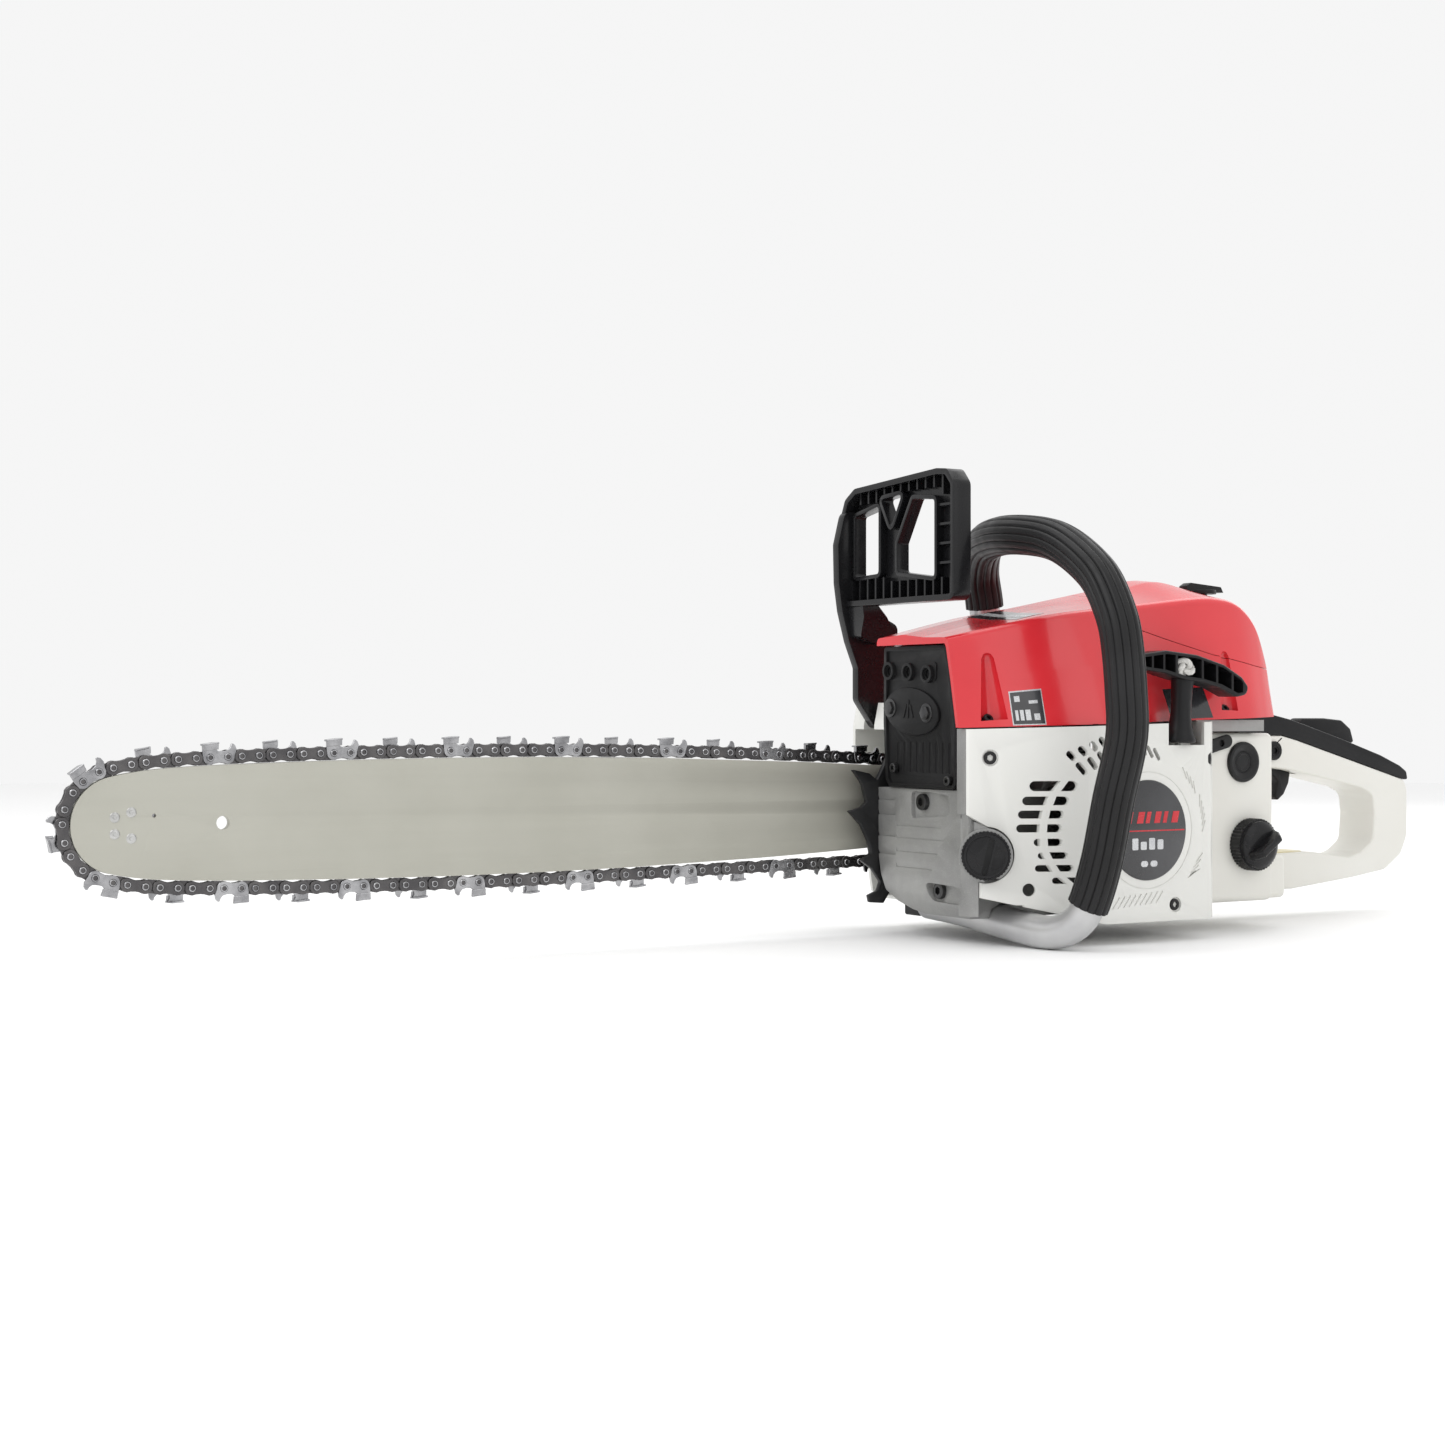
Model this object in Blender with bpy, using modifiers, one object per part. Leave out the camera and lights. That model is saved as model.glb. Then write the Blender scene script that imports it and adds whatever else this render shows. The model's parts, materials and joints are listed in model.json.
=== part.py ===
"""Petrol chainsaw with a 20 inch guide bar, built as an assembly of separate pieces.

Units are metres. +X points to the rear handle, the bar points along -X, the starter is on -Y,
the bar and clutch are on +Y and +Z is up. The origin lies on the flat underside of the crankcase,
straight below the crankshaft.
"""

import math

import bmesh
import bpy
from mathutils import Matrix, Vector
from mathutils.geometry import convex_hull_2d

# ---------------------------------------------------------------- driving dimensions
GAP = 0.0003                      # clearance left between touching pieces
CRANK_Z = 0.050                   # height of the crankshaft axis
BAR_Y = 0.045                     # middle plane of the guide bar
BAR_Z = 0.060                     # height of the bar's centre line
CHAIN_PITCH = 0.008255            # 0.325 inch chain: mean distance between rivets
CHAIN_RIVETS = 152                # 76 drive links
NOSE_RADIUS = 0.0284              # rivet line radius round the bar nose
NOSE_ARC = 103                    # the nose is round from this angle, in degrees, to its mirror
BELLY_HALF_WIDTH = 0.0354         # greatest half width of the rivet line
BELLY_BACK = 0.1936               # that widest point lies this far behind the nose centre
BELLY_RADIUS = 4.70               # radius of the bar's long edges
SHOULDER_DROP = 0.0024            # the edges fall by this much into the nose
SHOULDER_LENGTH = 0.015           # over about this length
BAR_SPAN = 0.517                  # nose centre to tail end
RAIL_INSET = 0.0039               # bar rail lies this far inside the rivet line
SPROCKET_TEETH = 8
NOSE_TEETH = 10
SPROCKET_PITCH_R = SPROCKET_TEETH * 2 * CHAIN_PITCH / (2 * math.pi)

CASE_LEFT, CASE_RIGHT = -0.052, 0.028          # crankcase side faces
CASE_FRONT, CASE_REAR = -0.103, 0.055
CASE_TOP = 0.086
COVER_LEFT = -0.090                            # outer face of the starter cover
COVER_BASE = -0.003                            # its lower edge hangs a little below the case
SHROUD_FRONT, SHROUD_REAR = -0.108, 0.126      # red covers, front lip to rear end
SHROUD_BASE_FRONT, SHROUD_BASE_REAR = 0.1075, 0.1135
TANK_LEFT, TANK_RIGHT = -0.060, 0.030
TANK_FRONT, TANK_REAR = 0.0583, 0.1275
TANK_HEEL = 0.1385                             # the tank's foot reaches further back
HANDLE_HALF = 0.0155                           # half width of the rear handle
TUBE_R, GRIP_R = 0.0093, 0.0116                # front handle tube and its rubber grip
GRIP_WALL = 0.0012
BORE_R, STROKE = 0.0226, 0.032
ROD_LENGTH = 0.056
WEB_R = 0.026                     # crank web discs
CHAMBER_R = 0.0345                # room for the webs and the rod's big end
GUARD_PIVOT = (-0.0770, 0.060, 0.1135)
TRIGGER_PIVOT = (0.176, 0.0, 0.087)
LOCKOUT_PIVOT = (0.207, 0.0, 0.097)
TENSION_X = -0.071                             # pin that pushes the bar forward
STUD_X = (-0.062, -0.046)                      # the two bar studs, pressed into the case
OIL_CAP_AT = (-0.0965, -0.0665, 0.0365)
OIL_CAP_DIR = (-0.6, -0.8, 0.0)
FUEL_CAP_AT = (0.1065, TANK_LEFT, 0.0365)
KNOB_AT = (0.1035, -0.022)
GRIP_AT = (0.0290, -0.0860)

# colour, roughness, metallic for each finish
FINISHES = {
    "red_plastic": ((0.75, 0.04, 0.05), 0.25, 0.0),
    "white_plastic": ((0.86, 0.86, 0.82), 0.38, 0.0),
    "black_plastic": ((0.02, 0.02, 0.022), 0.4, 0.0),
    "black_rubber": ((0.03, 0.03, 0.032), 0.65, 0.0),
    "cast_alloy": ((0.42, 0.42, 0.42), 0.6, 0.6),
    "machined_alloy": ((0.62, 0.62, 0.62), 0.35, 0.9),
    "silver_tube": ((0.66, 0.66, 0.66), 0.35, 0.8),
    "bar_steel": ((0.55, 0.55, 0.50), 0.35, 0.7),
    "dark_steel": ((0.12, 0.12, 0.12), 0.4, 0.9),
    "chrome_steel": ((0.70, 0.70, 0.70), 0.2, 1.0),
    "black_steel": ((0.03, 0.03, 0.03), 0.45, 0.5),
    "badge_film": ((0.03, 0.03, 0.03), 0.2, 0.0),
    "white_rope": ((0.80, 0.80, 0.78), 0.8, 0.0),
    "filter_felt": ((0.55, 0.50, 0.35), 0.9, 0.0),
}

AXIS_TURN = {
    "X": Matrix.Rotation(math.radians(90), 4, "Y"),
    "Y": Matrix.Rotation(math.radians(-90), 4, "X"),
    "Z": Matrix.Identity(4),
}
# a flat outline is drawn in local XY and stood up in the named plane
PLANE_TURN = {
    "XY": Matrix.Identity(4),
    "XZ": Matrix.Rotation(math.radians(90), 4, "X"),
    "YZ": Matrix(((0, 0, 1, 0), (1, 0, 0, 0), (0, 1, 0, 0), (0, 0, 0, 1))),
}


# ---------------------------------------------------------------- scene helpers
def clear_scene():
    """Remove every object that the file opened with."""
    for thing in list(bpy.data.objects):
        bpy.data.objects.remove(thing, do_unlink=True)


def collection(name):
    """Make a collection and link it to the scene."""
    made = bpy.data.collections.new(name)
    bpy.context.scene.collection.children.link(made)
    return made


def finish(name, label):
    """One Principled material for one piece."""
    colour, roughness, metallic = FINISHES[name]
    made = bpy.data.materials.new(label + "_" + name)
    made.use_nodes = True
    shader = made.node_tree.nodes["Principled BSDF"]
    shader.inputs["Base Color"].default_value = (*colour, 1.0)
    shader.inputs["Roughness"].default_value = roughness
    shader.inputs["Metallic"].default_value = metallic
    return made


def mesh_object(bm):
    """Turn a bmesh into a loose object that no collection holds yet."""
    bmesh.ops.recalc_face_normals(bm, faces=bm.faces)
    if bm.calc_volume(signed=True) < 0:
        bmesh.ops.reverse_faces(bm, faces=bm.faces)
    mesh = bpy.data.meshes.new("shape")
    bm.to_mesh(mesh)
    bm.free()
    return bpy.data.objects.new("shape", mesh)


def piece(shape, name, look, origin=(0.0, 0.0, 0.0)):
    """Name a shape, give it its material and put its origin where it turns."""
    shape.name = name
    shape.data.name = name
    shape.data.transform(Matrix.Translation(-Vector(origin)))
    shape.location = origin
    shape.data.materials.clear()
    shape.data.materials.append(finish(look, name))
    shape.data.shade_smooth()
    shape.data.set_sharp_from_angle(angle=math.radians(35))
    PARTS.objects.link(shape)
    return shape


def boolean(shape, tool, operation):
    """Add one live Boolean; the tool goes to the cutters' collection."""
    if tool.name not in CUTTERS.objects:
        CUTTERS.objects.link(tool)
        tool.hide_render = True
        tool.display_type = "WIRE"
    step = shape.modifiers.new(operation.lower(), "BOOLEAN")
    step.operation = operation
    step.solver = "EXACT"
    step.object = tool
    return shape


def cut(shape, *tools):
    for tool in tools:
        boolean(shape, tool, "DIFFERENCE")
    return shape


def fuse(shape, *tools):
    for tool in tools:
        boolean(shape, tool, "UNION")
    return shape


def box(low, high, bevel=0.0):
    """A block between two corners, with its edges chamfered if asked."""
    bm = bmesh.new()
    bmesh.ops.create_cube(bm, size=1.0)
    size = [b - a for a, b in zip(low, high)]
    middle = [(a + b) / 2 for a, b in zip(low, high)]
    bmesh.ops.scale(bm, vec=size, verts=bm.verts)
    bmesh.ops.translate(bm, vec=middle, verts=bm.verts)
    if bevel:
        bmesh.ops.bevel(bm, geom=list(bm.edges), offset=bevel, segments=1, affect="EDGES")
    return mesh_object(bm)


def rod(axis, start, length, radius, segments=24, tip_radius=None):
    """A cylinder or cone from its start point along an axis name or a direction."""
    bm = bmesh.new()
    tip = radius if tip_radius is None else tip_radius
    bmesh.ops.create_cone(
        bm, cap_ends=True, segments=segments, radius1=radius, radius2=tip, depth=length
    )
    bmesh.ops.translate(bm, vec=(0, 0, length / 2), verts=bm.verts)
    if isinstance(axis, str):
        turn = AXIS_TURN[axis]
    else:
        turn = Vector((0, 0, 1)).rotation_difference(Vector(axis)).to_matrix().to_4x4()
    bm.transform(Matrix.Translation(start) @ turn)
    return mesh_object(bm)


def turned(profile, axis, start, segments=24, closed=False):
    """A profile of (radius, height) pairs turned with a Screw about an axis through start."""
    mesh = bpy.data.meshes.new("profile")
    points = [(radius, 0.0, height) for radius, height in profile]
    edges = [(i, i + 1) for i in range(len(points) - 1)]
    if closed:
        edges.append((len(points) - 1, 0))
    mesh.from_pydata(points, edges, [])
    shape = bpy.data.objects.new("turned", mesh)
    screw = shape.modifiers.new("turn", "SCREW")
    screw.steps = segments
    screw.render_steps = segments
    screw.use_merge_vertices = True
    screw.merge_threshold = 0.00002
    made = to_mesh(shape)
    made.data.transform(Matrix.Translation(start) @ AXIS_TURN[axis])
    return made


def to_mesh(shape):
    """Bake a curve or a modified shape to a welded plain mesh, faces out."""
    CUTTERS.objects.link(shape)
    bpy.context.view_layer.update()
    ready = shape.evaluated_get(bpy.context.evaluated_depsgraph_get())
    mesh = bpy.data.meshes.new_from_object(ready)
    mesh.transform(shape.matrix_world)
    bpy.data.objects.remove(shape, do_unlink=True)
    bm = bmesh.new()
    bm.from_mesh(mesh)
    bmesh.ops.remove_doubles(bm, verts=bm.verts, dist=0.000005)
    return mesh_object(bm)


def plate(outline, plane, low, high, holes=()):
    """A flat outline, with holes, filled as a 2D curve and extruded across a plane."""
    curve = bpy.data.curves.new("outline", "CURVE")
    curve.dimensions = "2D"
    curve.fill_mode = "BOTH"
    curve.extrude = (high - low) / 2
    for loop in (outline, *holes):
        spline = curve.splines.new("POLY")
        spline.points.add(len(loop) - 1)
        for point, (x, y) in zip(spline.points, loop):
            point.co = (x, y, 0.0, 1.0)
        spline.use_cyclic_u = True
    shape = bpy.data.objects.new("outline", curve)
    middle = (low + high) / 2
    shift = {"XY": (0, 0, middle), "XZ": (0, middle, 0), "YZ": (middle, 0, 0)}[plane]
    shape.matrix_world = Matrix.Translation(shift) @ PLANE_TURN[plane]
    return to_mesh(shape)


def arc(centre, radius, start, stop, steps):
    """Points on an arc, angles in degrees."""
    turns = [math.radians(start + (stop - start) * i / steps) for i in range(steps + 1)]
    return [(centre[0] + radius * math.cos(a), centre[1] + radius * math.sin(a)) for a in turns]


def circle(centre, radius, steps=20):
    return arc(centre, radius, 0, 360, steps)[:-1]


def wire(points, radius, sides=2, capped=True):
    """A round bar along a route of points, as a welded mesh."""
    curve = bpy.data.curves.new("route", "CURVE")
    curve.dimensions = "3D"
    curve.bevel_depth = radius
    curve.bevel_resolution = sides
    curve.use_fill_caps = capped
    spline = curve.splines.new("POLY")
    spline.points.add(len(points) - 1)
    for point, place in zip(spline.points, points):
        point.co = (*place, 1.0)
    return to_mesh(bpy.data.objects.new("route", curve))


def smooth_route(corners, steps=4):
    """A Catmull-Rom curve through hand-set corners."""
    ends = [corners[0], *corners, corners[-1]]
    route = []
    for i in range(1, len(ends) - 2):
        a, b, c, d = (Vector(p) for p in ends[i - 1:i + 3])
        for k in range(steps):
            t = k / steps
            route.append(0.5 * (
                2 * b + (c - a) * t + (2 * a - 5 * b + 4 * c - d) * t * t
                + (3 * b - a - 3 * c + d) * t ** 3
            ))
    route.append(Vector(corners[-1]))
    return route


def loft(sections):
    """Skin from one ring or strip of points to the next; open at both ends."""
    bm = bmesh.new()
    rows = [[bm.verts.new(p) for p in section] for section in sections]
    for first, second in zip(rows, rows[1:]):
        for i in range(len(first) - 1):
            bm.faces.new((first[i], first[i + 1], second[i + 1], second[i]))
    return bm, rows


def hexagon(radius, centre=(0.0, 0.0)):
    return circle(centre, radius, 6)


# ---------------------------------------------------------------- engine
def crank_axis(y):
    return (0.0, y, CRANK_Z)


def make_crankcase():
    """Cast case: web chamber, flywheel recess, oil tank, cap boss and a groove for the handle."""
    side = [
        (CASE_FRONT, 0.012), (-0.096, 0.0), (CASE_REAR - 0.004, 0.0), (CASE_REAR, 0.005),
        (CASE_REAR, 0.080), (0.040, CASE_TOP), (-0.040, CASE_TOP), (-0.046, 0.072),
        (CASE_FRONT, 0.072),
    ]
    case = plate(side, "XZ", CASE_LEFT, CASE_RIGHT)
    corner = plate(CASE_CORNER, "XY", 0.002, 0.0565)
    boss = rod(OIL_CAP_DIR, OIL_BOSS_ROOT, 0.030, 0.0150, 28)
    fuse(case, corner, boss)
    web_room = rod("Y", crank_axis(-0.0185), 0.037, CHAMBER_R, 32)
    bearing_room = rod("Y", crank_axis(-0.0315), 0.0630, 0.0203, 28)
    flywheel_room = rod("Y", crank_axis(-0.070), 0.040, 0.0465, 36)
    rod_room = rod("Z", (0, 0, CRANK_Z), 0.050, BORE_R + 0.0012, 28)
    swing_room = box((-0.0300, -0.0075, CRANK_Z), (0.0300, 0.0075, CASE_TOP - 0.0025))
    oil_room = box((-0.098, -0.046, 0.021), (-0.052, 0.022, 0.067))
    neck = rod(OIL_CAP_DIR, OIL_BOSS_ROOT, 0.040, 0.0110, 24)
    cut(case, web_room, bearing_room, flywheel_room, rod_room, swing_room, oil_room, neck)
    cut(case, handle_groove())
    toe = plate([(0.0245, -0.001), (0.0290, -0.001), (0.0290, 0.018)], "YZ", -0.11, 0.06)
    cut(case, toe)
    fuse(case, *[rod("Y", (x, CASE_RIGHT - 0.002, BAR_Z), 0.0620, 0.0038, 16) for x in STUD_X])
    piece(case, "crankcase", "cast_alloy")


def make_cylinder():
    """Finned barrel with ports and a plug hole in its head."""
    barrel = rod("Z", (0, 0, CASE_TOP + GAP), 0.0685, 0.0255, 20)
    foot = box((-0.034, -0.026, CASE_TOP + GAP), (0.034, 0.0255, 0.092))
    fins = [
        box((-0.034, -0.030, z), (0.034, 0.0255, z + 0.002))
        for z in (0.098 + 0.0075 * i for i in range(8))
    ]
    exhaust = rod("X", (-0.036, 0, 0.116), 0.015, 0.0125, 20)
    intake = rod("X", (0.021, 0, 0.122), 0.013, 0.0115, 20)
    fuse(barrel, foot, *fins, exhaust, intake)
    bore = rod("Z", (0, 0, CASE_TOP - 0.002), 0.0632, BORE_R, 24)
    exhaust_port = rod("X", (-0.040, 0, 0.116), 0.030, 0.0085, 16)
    intake_port = rod("X", (0.015, 0, 0.122), 0.030, 0.0075, 16)
    plug_hole = rod("Z", (0, 0, 0.140), 0.030, 0.0055, 16)
    cut(barrel, bore, exhaust_port, intake_port, plug_hole)
    piece(barrel, "cylinder", "machined_alloy")


def make_piston_group():
    """Piston, its pin, the connecting rod and the crank pin, drawn at top dead centre."""
    pin_z = CRANK_Z + STROKE / 2
    wrist_z = pin_z + ROD_LENGTH
    crown, skirt = wrist_z + 0.016, wrist_z - 0.0130
    radius = BORE_R - GAP
    cup = [
        (0.0, crown), (radius, crown), (radius, skirt), (radius - 0.003, skirt),
        (radius - 0.003, crown - 0.004), (0.0, crown - 0.004),
    ]
    piston = turned(cup, "Z", (0, 0, 0))
    cut(piston, rod("Y", (0, -0.03, wrist_z), 0.06, 0.0053, 16))
    piece(piston, "piston", "machined_alloy")
    piece(rod("Y", (0, -0.0190, wrist_z), 0.038, 0.0050, 16), "piston_pin", "chrome_steel")
    big, small, waist = 0.0125, 0.0090, 0.0045
    outline = (
        arc((0, pin_z), big, 110, 430, 18) + [(waist, pin_z + 0.016), (waist, wrist_z - 0.012)]
        + arc((0, wrist_z), small, -60, 240, 14) + [(-waist, wrist_z - 0.012), (-waist, pin_z + 0.016)]
    )
    holes = (circle((0, pin_z), 0.0083), circle((0, wrist_z), 0.0053, 16))
    link = plate(outline, "XZ", -0.0060, 0.0060, holes)
    piece(link, "connecting_rod", "dark_steel")
    piece(rod("Y", (0, -0.0064, pin_z), 0.0128, 0.0080, 20), "crank_pin", "chrome_steel")


def make_crankshaft():
    """Two full-disc crank webs with stepped shafts out to the flywheel and the clutch."""
    left = [
        (0.0, 0.0), (WEB_R, 0.0), (WEB_R, -0.0112), (0.0095, -0.0112), (0.0095, -0.0120),
        (0.0082, -0.0120), (0.0082, -0.0265), (0.0065, -0.0275), (0.0065, -0.0560), (0.0, -0.0560),
    ]
    right = [
        (0.0, 0.0662), (0.0050, 0.0662), (0.0050, 0.0440), (0.0082, 0.0440),
        (0.0082, 0.0120), (0.0095, 0.0120), (0.0095, 0.0112), (WEB_R, 0.0112), (WEB_R, 0.0), (0.0, 0.0),
    ]
    for name, profile, y in (("crank_half_left", left, -0.0068), ("crank_half_right", right, 0.0068)):
        piece(turned(profile, "Y", crank_axis(y)), name, "machined_alloy", crank_axis(0.0))
    ring = [(0.0200, 0.0), (0.0200, -0.0086), (0.0085, -0.0086), (0.0085, 0.0)]
    for name, y in (("main_bearing_left", -0.0192), ("main_bearing_right", 0.0278)):
        piece(turned(ring, "Y", crank_axis(y), closed=True), name, "chrome_steel")


def make_flywheel():
    """Fan wheel with blades on its outer face, keyed to the left shaft."""
    profile = [
        (0.0430, 0.0), (0.0430, -0.0100), (0.0140, -0.0140), (0.0140, -0.0180), (0.0068, -0.0180),
        (0.0068, 0.0),
    ]
    wheel = turned(profile, "Y", crank_axis(-0.0345), 30, closed=True)
    blades = []
    for i in range(12):
        blade = box((0.017, -0.0560, -0.0012), (0.0420, -0.0420, 0.0012))
        spin = Matrix.Rotation(2 * math.pi * i / 12, 4, "Y")
        blade.data.transform(Matrix.Translation(crank_axis(0.0)) @ spin)
        blades.append(blade)
    fuse(wheel, *blades)
    piece(wheel, "flywheel", "machined_alloy", crank_axis(-0.045))


def make_ignition():
    coil = box((-0.019, -0.052, 0.0990), (0.019, -0.036, 0.1230), 0.002)
    legs = [box((x - 0.005, -0.050, 0.0942), (x + 0.005, -0.038, 0.1000)) for x in (-0.013, 0.013)]
    piece(fuse(coil, *legs), "ignition_coil", "black_plastic")
    profile = [
        (0.0, 0.0190), (0.0030, 0.0190), (0.0030, 0.0165), (0.0065, 0.0150), (0.0065, 0.0095),
        (0.0095, 0.0095), (0.0095, 0.0003), (0.0051, 0.0003), (0.0051, -0.0080), (0.0, -0.0080),
    ]
    piece(turned(profile, "Z", (0, 0, 0.1548), 16), "spark_plug", "chrome_steel")


def make_exhaust():
    """Muffler box bolted to the exhaust port, behind its front guard."""
    body = box((-0.0985, -0.043, 0.0785), (-0.060, 0.013, 0.1460), 0.003)
    outlet = rod("X", (-0.062, 0, 0.116), 0.0257, 0.0125, 20)
    piece(fuse(body, outlet), "muffler", "dark_steel")
    front = [
        (-0.0490, 0.0725), (0.0175, 0.0725), (0.0190, 0.0760), (0.0185, 0.1440), (0.0140, 0.1470),
        (-0.0385, 0.1470), (-0.0425, 0.1430), (-0.0515, 0.1060), (-0.0515, 0.0760),
    ]
    cover = plate(front, "YZ", -0.1045, -0.1005)
    lens = plate(
        [(0.8 * (y + 0.0047) - 0.0047, z) for y, z in
         arc((-0.0047, 0.098), 0.034, 50, 130, 8) + arc((-0.0047, 0.136), 0.034, 230, 310, 8)],
        "YZ", -0.1060, -0.1040,
    )
    ports = [
        rod("X", (-0.1065, y, z), 0.003, 0.0048, 16)
        for y, z in ((0.0141, 0.1398), (-0.0048, 0.1390), (-0.0233, 0.1376))
    ]
    piece(fuse(cover, lens, *ports), "muffler_cover", "black_plastic")


def make_intake():
    """Boot, carburettor, air filter and the tray that they stand on."""
    ring = [(0.0140, 0.0470), (0.0140, 0.0345), (0.0085, 0.0345), (0.0085, 0.0470)]
    piece(turned(ring, "X", (0, 0, 0.122), 24, closed=True), "intake_boot", "black_rubber")
    body = box((0.0475, -0.018, 0.1125), (0.0800, 0.014, 0.1370), 0.002)
    cut(body, rod("X", (0.04, 0, 0.122), 0.06, 0.0070, 16))
    piece(body, "carburetor", "machined_alloy")
    filter_body = box((0.0805, -0.045, 0.1125), (0.1080, 0.014, 0.1420), 0.004)
    piece(filter_body, "air_filter", "filter_felt")
    tray = box((0.0590, -0.0660, 0.1045), (0.1130, 0.0240, 0.1112))
    piece(tray, "carburetor_tray", "cast_alloy")


# ---------------------------------------------------------------- drive and cutting gear
def belly(back):
    """Half width of the rivet line at a distance behind the nose centre."""
    shoulder = SHOULDER_DROP * math.exp(-back / SHOULDER_LENGTH)
    return BELLY_HALF_WIDTH - (back - BELLY_BACK) ** 2 / (2 * BELLY_RADIUS) - shoulder


def rivet_outline(shift):
    """Rivet line of the bar, nose centre at -shift: a round nose and two long curved edges."""
    nose = arc((-shift, BAR_Z), NOSE_RADIUS, NOSE_ARC, 360 - NOSE_ARC, 40)
    steps = 40
    backs = [0.001 + (BAR_SPAN - 0.001) * i / steps for i in range(steps + 1)]
    top = [(back - shift, BAR_Z + belly(back)) for back in backs]
    bottom = [(back - shift, BAR_Z - belly(back)) for back in backs]
    return nose + top + bottom


def hull(points):
    """Convex ring round the points, anticlockwise."""
    flat = [Vector(p) for p in points]
    ring = [flat[i] for i in convex_hull_2d(flat)]
    area = sum(a.x * b.y - b.x * a.y for a, b in zip(ring, ring[1:] + ring[:1]))
    return ring if area > 0 else ring[::-1]


def loop_length(ring):
    return sum((b - a).length for a, b in zip(ring, ring[1:] + ring[:1]))


def chain_line(shift):
    """Taut loop of the rivet line round the bar and the drive sprocket."""
    return hull(rivet_outline(shift) + circle((0.0, CRANK_Z), SPROCKET_PITCH_R, 60))


def taut_shift():
    """Slide the bar forward until the loop is as long as the chain."""
    low, high = 0.52, 0.58
    for _ in range(40):
        middle = (low + high) / 2
        if loop_length(chain_line(middle)) < CHAIN_RIVETS * CHAIN_PITCH:
            low = middle
        else:
            high = middle
    return (low + high) / 2


def walk(ring, distances):
    """Points and outward normals at distances along a closed anticlockwise ring."""
    ends = ring[1:] + ring[:1]
    spans = [(b - a).length for a, b in zip(ring, ends)]
    out, index, done = [], 0, 0.0
    for wanted in distances:
        while done + spans[index] < wanted:
            done += spans[index]
            index += 1
        a, b = ring[index], ends[index]
        along = (b - a).normalized()
        out.append((a + along * (wanted - done), Vector((along.y, -along.x))))
    return out


def make_bar_and_chain(shift):
    """Guide bar, nose sprocket and the chain as one toothed band."""
    nose = (-shift, BAR_Z)
    outer = hull(rivet_outline(shift))
    rail = walk(outer, [loop_length(outer) * i / 150 for i in range(150)])
    edge = [tuple(p - n * RAIL_INSET) for p, n in rail]
    slot = arc((-0.1015, BAR_Z), 0.0043, 90, 270, 8) + arc((-0.044, BAR_Z), 0.0043, -90, 90, 8)
    adjuster = [circle((TENSION_X, BAR_Z + side * 0.014), 0.0030, 12) for side in (-1, 1)]
    window = circle((-0.4955, BAR_Z), 0.0035, 16)
    bar = plate(edge, "XZ", BAR_Y - 0.0023, BAR_Y + 0.0023, [slot, window, *adjuster])
    nose_slot = turned(
        [(0.0330, 0.0009), (0.0330, -0.0009), (0.0092, -0.0009), (0.0092, 0.0009)],
        "Y", (nose[0], BAR_Y, nose[1]), 36, closed=True,
    )
    piece(cut(bar, nose_slot), "guide_bar", "bar_steel")

    star = []
    for i in range(NOSE_TEETH * 4):
        reach = 0.0242 if i % 4 in (1, 2) else 0.0205
        angle = 2 * math.pi * i / (NOSE_TEETH * 4)
        star.append((nose[0] + reach * math.cos(angle), nose[1] + reach * math.sin(angle)))
    sprocket = plate(star, "XZ", BAR_Y - 0.0006, BAR_Y + 0.0006, [circle(nose, 0.0096, 20)])
    piece(sprocket, "nose_sprocket", "chrome_steel", (nose[0], BAR_Y, nose[1]))

    ring = chain_line(shift)
    total = loop_length(ring)
    link = total / CHAIN_RIVETS
    low, top = 0.0036, 0.0072                    # cutter profile above the rivet line
    outline = []
    for i in range(CHAIN_RIVETS // 4):
        start = i * 4 * link
        lifts = ((0.2, low), (1.6, low), (1.7, top + 0.0014), (3.2, top), (3.25, low))
        spots = walk(ring, [start + step * link for step, _ in lifts])
        outline += [tuple(p + n * lift) for (p, n), (_, lift) in zip(spots, lifts)]
    inner = walk(ring, [total * i / 160 for i in range(160)])
    hole = [tuple(p - n * (RAIL_INSET - 2 * GAP)) for p, n in inner]
    band = plate(outline, "XZ", BAR_Y - 0.0034, BAR_Y + 0.0034, [hole])
    piece(band, "saw_chain", "chrome_steel")


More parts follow.
